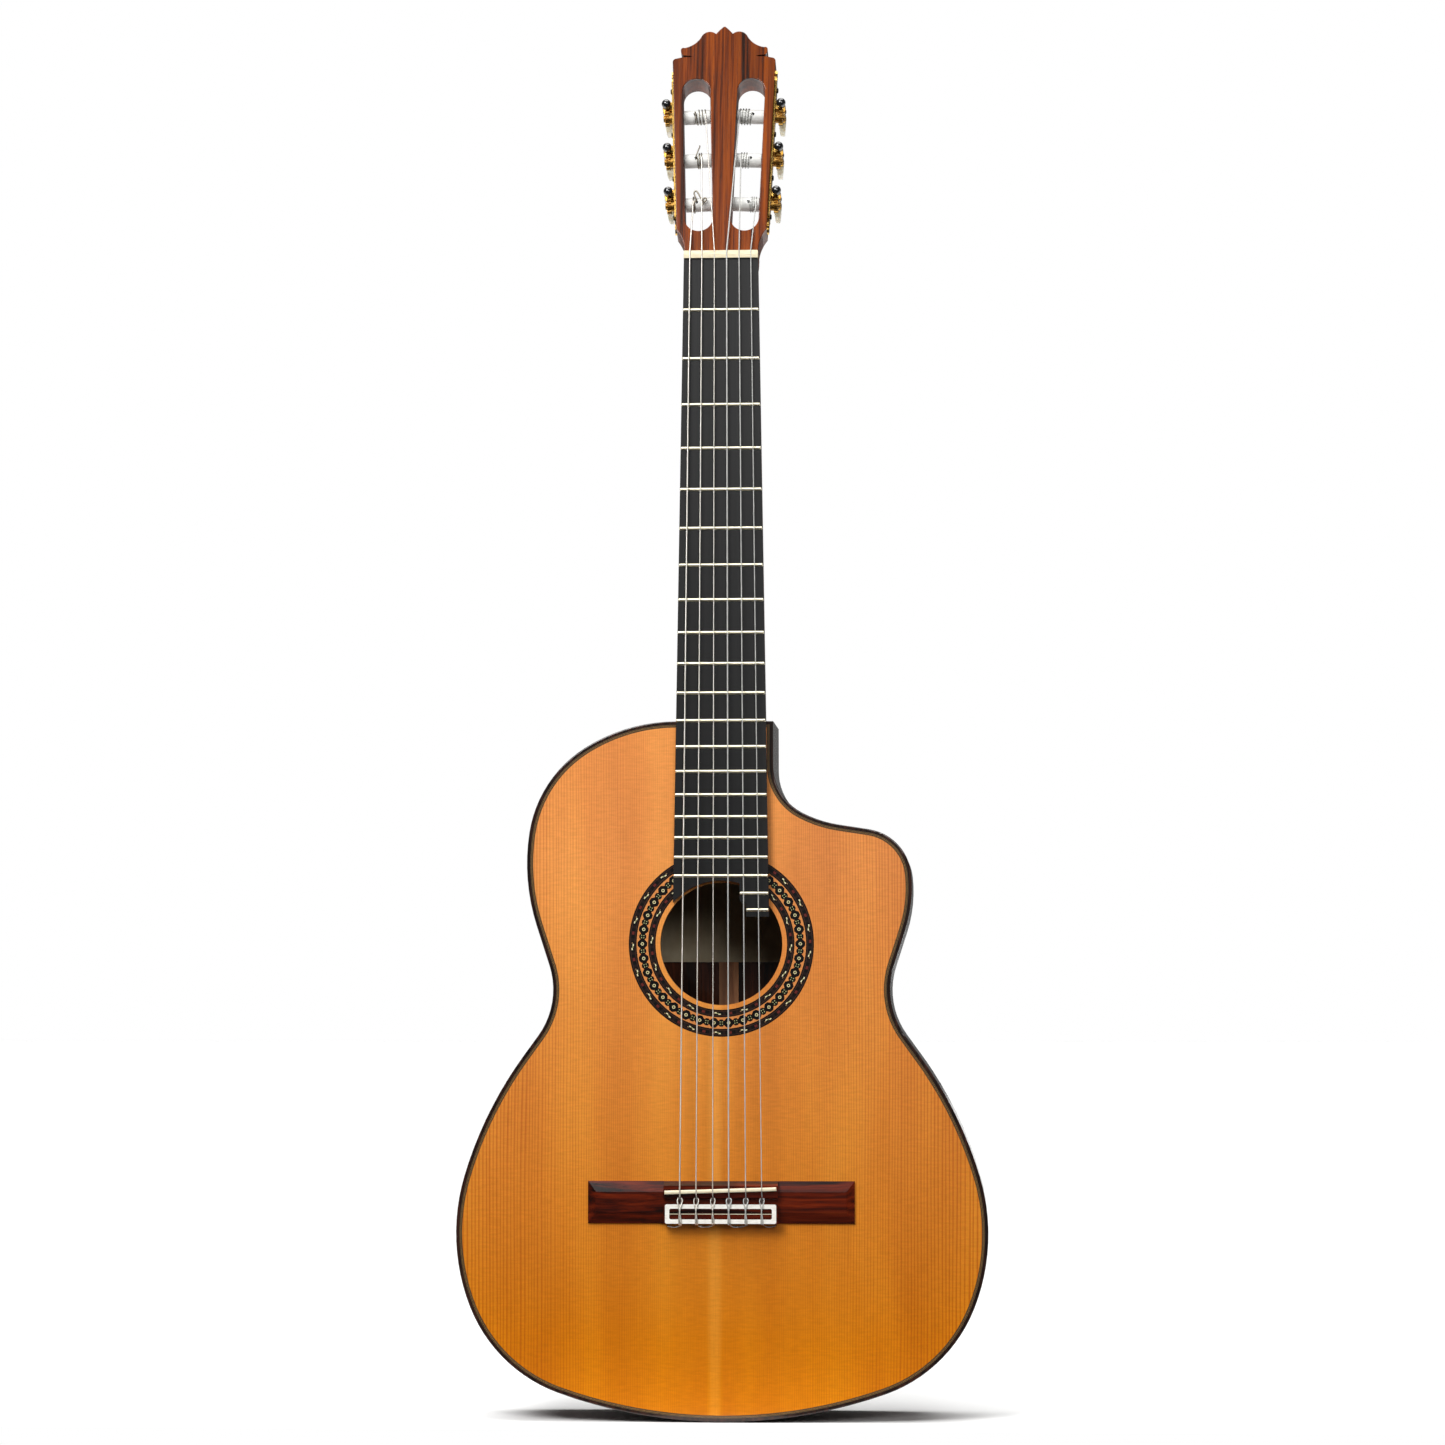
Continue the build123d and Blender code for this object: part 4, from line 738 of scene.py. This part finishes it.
def make_ball(number):
    bm = bmesh.new()
    bmesh.ops.create_uvsphere(bm, u_segments=32, v_segments=20, radius=BALL_R,
                              matrix=Matrix.Translation((0, 0, BALL_AT)))
    turned(bm, NECK_R, 5.4, 6.6, 0.3)
    turned(bm, BALL_R, FERRULE_HIGH, FERRULE_HIGH + 1.5, 0.35)
    turned(bm, BLACK_CORE_R, FERRULE_LOW + 0.5, FERRULE_HIGH + 0.5, 0.1)
    bmesh.ops.transform(bm, matrix=millimetres(at_knob(number)), verts=bm.verts)
    piece = finished(bm, f"knob_ball_{number}", f"knob_{number}", ball_black)
    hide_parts(f"tuner_worm_{number}")


for number in STRINGS:
    make_worm(number)
    make_ball(number)

# %% [markdown]
# ## Strings
# A string starts as a loose end behind the bridge, comes up over the tie block, goes round itself in front of
# it, back over the block and down into its hole, then up over the saddle, straight to the nut and on to its
# roller. A curve with a round bevel makes it: each string is one smooth NURBS line that follows listed points,
# which `eased` crowds at the corners so that the long stretches stay straight.


# %% From a line of points to a string
def eased(points, reach=2.5):
    """Add a point before and after each inner corner, so that only the corner bends."""
    route = [points[0]]
    for before, corner, after in zip(points, points[1:], points[2:]):
        back, ahead = before - corner, after - corner
        route += [corner + back.normalized() * min(reach, back.length * 0.45), corner,
                  corner + ahead.normalized() * min(reach, ahead.length * 0.45)]
    return route + [points[-1]]


def thread(name, points, radius, body, finish):
    """A round string along a NURBS line, made a mesh."""
    line = bpy.data.curves.new(name, "CURVE")
    line.dimensions = "3D"
    spline = line.splines.new("NURBS")
    spline.points.add(len(points) - 1)
    for point, place in zip(spline.points, points):
        point.co = (*(place * MM), 1.0)
    spline.order_u = 3
    spline.use_endpoint_u = True
    spline.resolution_u = 6
    line.bevel_depth = radius * MM
    line.bevel_resolution = 3
    line.use_fill_caps = True
    holder = bpy.data.objects.new(name + "_line", line)
    mesh = bpy.data.meshes.new_from_object(holder)
    bpy.data.objects.remove(holder)
    piece = bpy.data.objects.new(name, mesh)
    bpy.context.scene.collection.objects.link(piece)
    mesh.shade_smooth()
    mesh.materials.clear()
    mesh.materials.append(finish)
    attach(piece, body)
    return piece


# %% Where a string crosses the nut and meets its roller
def nut_notch(number):
    return Vector((NUT_X[number], NUT_Y - 0.2 * STRING_R[number], NUT_Z))


def roller_touch(number):
    """The touching point in millimetres, its angle from the head's face, and its place along the roller."""
    centre, outward, up, facing = at_roller(number)
    centre = centre / MM
    radius = ROLLER_R + STRING_R[number] + ROLLER_GAP
    nut = nut_notch(number) - centre
    rise, depth = -nut.dot(up), -nut.dot(facing)
    far = math.hypot(rise, depth)
    slope = math.atan2(depth, rise) + math.asin(radius / far)
    along = (ROLLER_X[number] - centre.x) / outward.x
    return centre + outward * along + radius * (math.cos(slope) * facing - math.sin(slope) * up), -slope, along


# %% Make the six strings
def make_string(number):
    r = STRING_R[number]
    x = SADDLE_X[number]
    over = BLOCK_Y - r - BLOCK_GAP
    behind = BLOCK_BACK - r - BLOCK_GAP
    lean = 1 if number % 2 else -1
    tied = [Vector(place) for place in (
        (x + lean * 9.0, -r - 0.3, behind - 1.2), (x + lean * 4.5, -1.2 - r, behind - 2.4),
        (x + lean * 1.4, -3.2, behind - 1.2), (x + 0.9, -6.6, behind - 0.5),
        (x + 0.7, over - 0.3, behind + 0.4), (x + 0.5, over - 0.2, behind + 4.0),
        (x - 0.5, over - 0.2, BLOCK_FRONT - 2.5),
        (x - 1.1 - r, over + 0.1, BLOCK_FRONT + 1.0), (x - 1.3 - r, over + 1.0, BLOCK_FRONT + 3.2),
        (x - 0.3, over + 2.2, BLOCK_FRONT + 5.2), (x + 1.3 + r, over + 1.0, BLOCK_FRONT + 3.4),
        (x + 0.9 + r, over + 0.1, BLOCK_FRONT + 1.0), (x + 0.2, over - 0.5, BLOCK_FRONT - 2.0),
        (x - 0.4, over - 0.4, BLOCK_FRONT - 7.0), (x - 0.6, over - 0.2, behind + 0.6),
        (x - 0.3, -7.5, behind - 0.2), (x, -6.0, behind - 0.1), (x, TIE_HOLE_Y, behind + 0.2),
        (x, TIE_HOLE_Y, behind + 3.0))]
    saddle = Vector((x, SADDLE_Y - 0.6 * r, SADDLE_Z + x * SADDLE_SLANT))
    sounding = eased([Vector((x, TIE_HOLE_Y, BLOCK_FRONT - 1.5)), Vector((x, TIE_HOLE_Y, BLOCK_FRONT + 0.8)),
                      saddle, nut_notch(number), roller_touch(number)[0]])
    piece = thread(f"tied_string_{number}", tied + sounding, r, "guitar", string_finish[number])
    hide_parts(f"string_{number}")


for number in STRINGS:
    make_string(number)

# %% [markdown]
# ## Turns on the rollers
# Past the nut a string winds round its roller and its end goes through the roller's hole. The turns have to
# move with the roller, so they are a piece of their own. A loop works out the helix, and the few points of
# the loose end are listed for each bass string, in the roller's own directions.

# %% Make the turns
HOLE_ALONG = -14.4
STEPS_A_TURN = 16
TURNS = {1: 3, 2: 3, 3: 4, 4: 3, 5: 2, 6: 1}
# the loose end of each bass string: along the roller, up the headstock and out of its face
TAILS = {
    4: [(-1.0, 2.0, 6.6), (-0.6, -1.5, 7.2), (-0.8, -5.0, 6.2), (-0.2, -6.8, 4.0)],
    5: [(-1.2, 2.5, 6.8), (-2.4, 6.0, 6.4), (-3.4, 8.4, 5.6), (-3.2, 9.6, 5.0)],
    6: [(0.6, 3.0, 7.0), (1.8, 6.4, 6.6), (0.2, 8.6, 6.2), (-1.6, 5.6, 7.0), (-3.4, 1.0, 7.4),
        (-6.0, -1.6, 7.2), (-7.4, 0.6, 7.4), (-6.0, 2.4, 7.2), (-4.4, 0.6, 7.0), (-4.6, -3.0, 6.4)],
}


def make_turns(number):
    centre, outward, up, facing = at_roller(number)
    centre = centre / MM
    turn, along = roller_touch(number)[1:]
    r = STRING_R[number]
    radius = ROLLER_R + r + ROLLER_GAP
    total = TURNS[number] * STEPS_A_TURN
    shift = HOLE_ALONG - along
    stop = HOLE_ALONG - math.copysign(r + 0.9, shift)
    points = []
    for step in range(total + 1):
        angle = turn + (2 * math.pi * TURNS[number] - turn) * step / total
        u = along + (stop - along) * step / total
        points.append(centre + outward * u + radius * (math.cos(angle) * facing + math.sin(angle) * up))

    def spot(u, v, w):
        return centre + outward * (HOLE_ALONG + u) + up * v + facing * w

    points += [spot((stop - HOLE_ALONG) * 0.4, 0.6, ROLLER_R + r + 0.4), spot(0, 0.2, ROLLER_R + 0.8),
               spot(0, 0, ROLLER_R - 0.6), spot(0, 0, 0)]
    thread(f"string_turns_{number}", points, r, f"roller_{number}", turns_finish[number])
    if number in TAILS:
        tail = [spot(0, 0.3, 1.0), spot(0, 0.4, ROLLER_R + 0.4)] + [spot(*place) for place in TAILS[number]]
        thread(f"string_tail_{number}", tail, r, f"roller_{number}", turns_finish[number])


for number in STRINGS:
    make_turns(number)
print("strings made")

# %% [markdown]
# ## Two small details
# A thin line of bone crosses the tie block between the loops, and a black disc sits just under the mouth of
# each roller's hole, painted shade for the dark inside of the hole. Both are too small to need a CAD piece of
# their own: a bar let into the wood, and a short black plug seen as a dark disc.

# %% The thin bone line across the tie block
TIE_LINE_LONG, TIE_LINE_WIDE = 71.0, 0.4


def make_tie_line():
    bm = bmesh.new()
    bmesh.ops.create_cube(bm, size=1.0)
    bmesh.ops.scale(bm, vec=(TIE_LINE_LONG, TIE_LINE_WIDE, TIE_LINE_WIDE), verts=bm.verts)
    bmesh.ops.translate(bm, vec=(0, BLOCK_Y + 0.15, (BLOCK_FRONT + BLOCK_BACK) / 2), verts=bm.verts)
    finished(bm, "tie_block_line", "guitar", saddle_bone)


make_tie_line()


# %% Painted shade: dark discs in the rollers' holes
def make_hole_shade(number):
    place = at_knob(number)
    centre, outward = at_roller(number)[:2]
    place.translation = centre / MM + outward * HOLE_ALONG
    bm = bmesh.new()
    # painted shade: a short black plug just under the hole's mouth makes the hole look dark inside
    turned(bm, 1.1, ROLLER_R - 0.6, ROLLER_R + 0.12, 0.05)
    bmesh.ops.transform(bm, matrix=place, verts=bm.verts)
    finished(bm, f"roller_hole_shade_{number}", f"roller_{number}", ball_black)


for number in STRINGS:
    make_hole_shade(number)

# %% [markdown]
# ## The label
# A maker glues a paper label inside the body, over the back's centre strip and under the soundhole. This one
# is blank. `create_grid` makes a sheet of small squares, a ray from the front lays each row of corners just off
# the strip, and the sheet is given the thickness of paper.


# %% Old cream paper
def label_paper():
    material, tree, surface, place = start("paper_cream_aged")
    surface.inputs["Specular IOR Level"].default_value = 0.25
    stain = grain(tree, place, [28.0] * 3, 5.0)
    pulp = grain(tree, place, [0.6] * 3, 4.0)
    shade = stops(add(tree, "ShaderNodeValToRGB", {}, {"Fac": stain}),
                  [(0.3, "#8E7F66"), (0.55, "#A89A80"), (0.75, "#B5A98F")])
    value = add(tree, "ShaderNodeMapRange", {"To Min": 0.93, "To Max": 1.05}, {"Value": pulp})
    varied = add(tree, "ShaderNodeHueSaturation", {}, {"Color": shade.outputs["Color"], "Value": value})
    surfaced(tree, surface, varied.outputs[0], pulp, (0.75, 0.9), (pulp, 0.02, 0.3))
    return material


# %% Lay it on the back
LABEL_LOW, LABEL_HIGH, LABEL_HALF = -492.0, -420.0, 50.0
LABEL_THICK, LABEL_OFF = 0.12, 0.3


def make_label():
    bm = bmesh.new()
    bmesh.ops.create_grid(bm, x_segments=24, y_segments=18, size=1.0)
    bmesh.ops.scale(bm, vec=(LABEL_HALF, (LABEL_HIGH - LABEL_LOW) / 2, 1), verts=bm.verts)
    bmesh.ops.rotate(bm, matrix=Matrix.Rotation(math.radians(90), 3, "X"), verts=bm.verts)
    bmesh.ops.translate(bm, vec=(0, 0, (LABEL_LOW + LABEL_HIGH) / 2), verts=bm.verts)
    strip = surface_tree("back_centre_strip")
    for corner in bm.verts:
        hit = strip.ray_cast(Vector((0, 50.0, corner.co.z)) * MM, Vector((0, 1, 0)))[0]
        corner.co.y = hit.y / MM - LABEL_OFF
    bmesh.ops.solidify(bm, geom=bm.faces, thickness=LABEL_THICK)
    piece = finished(bm, "paper_label", "guitar", label_paper(), 60)
    print("label lies at depth", round(min(v.co.y for v in piece.data.vertices), 4))


make_label()

# %% [markdown]
# ## Floor, light and camera
# The floor is a wide white sheet at the level of the tail, lit from straight above until it fades into the
# white background. The room in front is dark, so the lacquer stays deep and clear. Two big soft lights stand
# there: the stronger one up to the left lights the wood, and the weaker one opens the shadows on the right.
# The camera stands three metres away with a long lens, level with the body, and looks slightly up.

# %% Floor
FLOOR_HALF = 15.0
floor_bm = bmesh.new()
bmesh.ops.create_grid(floor_bm, x_segments=1, y_segments=1, size=FLOOR_HALF,
                      matrix=Matrix.Translation((0, FLOOR_HALF - 0.05, cad_box[0].z - 0.0005)))
floor_mesh = bpy.data.meshes.new("floor")
floor_bm.to_mesh(floor_mesh)
floor_bm.free()
floor = bpy.data.objects.new("floor", floor_mesh)
bpy.context.scene.collection.objects.link(floor)
floor_paint, floor_tree, floor_surface, floor_place = start("floor_white_matt", roughness=0.9)
floor_grain = add(floor_tree, "ShaderNodeTexNoise", {"Scale": 3.0, "Detail": 3.0}, {"Vector": floor_place})
floor_shade = stops(add(floor_tree, "ShaderNodeValToRGB", {}, {"Fac": floor_grain}),
                    [(0.3, "#F2F2F1"), (0.7, "#F8F8F7")])
floor_tree.links.new(floor_shade.outputs["Color"], floor_surface.inputs["Base Color"])
floor_mesh.materials.append(floor_paint)

# %% The room: white to the camera, and dim to everything else
world = bpy.data.worlds.new("studio")
bpy.context.scene.world = world
world.use_nodes = True
world.node_tree.nodes.clear()
seen = add(world.node_tree, "ShaderNodeLightPath")
heading = add(world.node_tree, "ShaderNodeTexCoord").outputs["Generated"]
toward = add(world.node_tree, "ShaderNodeSeparateXYZ", {}, {0: heading})
room = add(world.node_tree, "ShaderNodeMapRange", {"From Min": 0.0, "From Max": 0.9, "To Min": 0.06,
                                                   "To Max": 0.14}, {"Value": toward.outputs["Y"]})
level = add(world.node_tree, "ShaderNodeMix", {"data_type": "FLOAT", 3: 1.0},
            {0: seen.outputs["Is Camera Ray"], 2: room})
sky = add(world.node_tree, "ShaderNodeBackground", {"Color": (1, 1, 1, 1)}, {"Strength": level})
add(world.node_tree, "ShaderNodeOutputWorld", {}, {"Surface": sky})
bpy.context.scene.view_settings.view_transform = "Standard"


# %% Soft lights
def soft_light(name, place, aim, size, watts):
    lamp = bpy.data.lights.new(name, "AREA")
    lamp.shape = "DISK"
    lamp.size = size
    lamp.energy = watts
    holder = bpy.data.objects.new(name, lamp)
    holder.location = place
    holder.rotation_euler = (Vector(aim) - Vector(place)).to_track_quat("-Z", "Y").to_euler()
    bpy.context.scene.collection.objects.link(holder)


soft_light("key", (-0.8, -1.5, 0.9), (0, 0, -0.25), 1.1, 50)
soft_light("fill", (0.6, -2.2, 0.3), (0, 0, -0.5), 0.8, 16)
overhead = bpy.data.lights.new("overhead", "SUN")
overhead.energy = 3.6
overhead.angle = math.radians(60)
overhead_holder = bpy.data.objects.new("overhead", overhead)
bpy.context.scene.collection.objects.link(overhead_holder)

# %% Camera
SENSOR_MM, LENS_MM = 36.0, 107.52
camera = bpy.data.cameras.new("camera")
camera.sensor_width, camera.lens = SENSOR_MM, LENS_MM
camera.clip_start, camera.clip_end = 0.1, 100.0
eye = bpy.data.objects.new("camera", camera)
bpy.context.scene.collection.objects.link(eye)
pitch, yaw = math.radians(3.730), math.radians(-3.227)
ahead = Vector((math.sin(yaw) * math.cos(pitch), math.cos(yaw) * math.cos(pitch), math.sin(pitch)))
eye.location = (0.170, -3.000, -0.52185)
eye.rotation_euler = ahead.to_track_quat("-Z", "Y").to_euler()
bpy.context.scene.camera = eye

# %% [markdown]
# ## Sizes, and the end
# The visual model has to fill the same box as the CAD model; the CAD model's box is printed here.

# %% Write the sizes
print("cad", [[round(v, 4) for v in corner] for corner in cad_box])
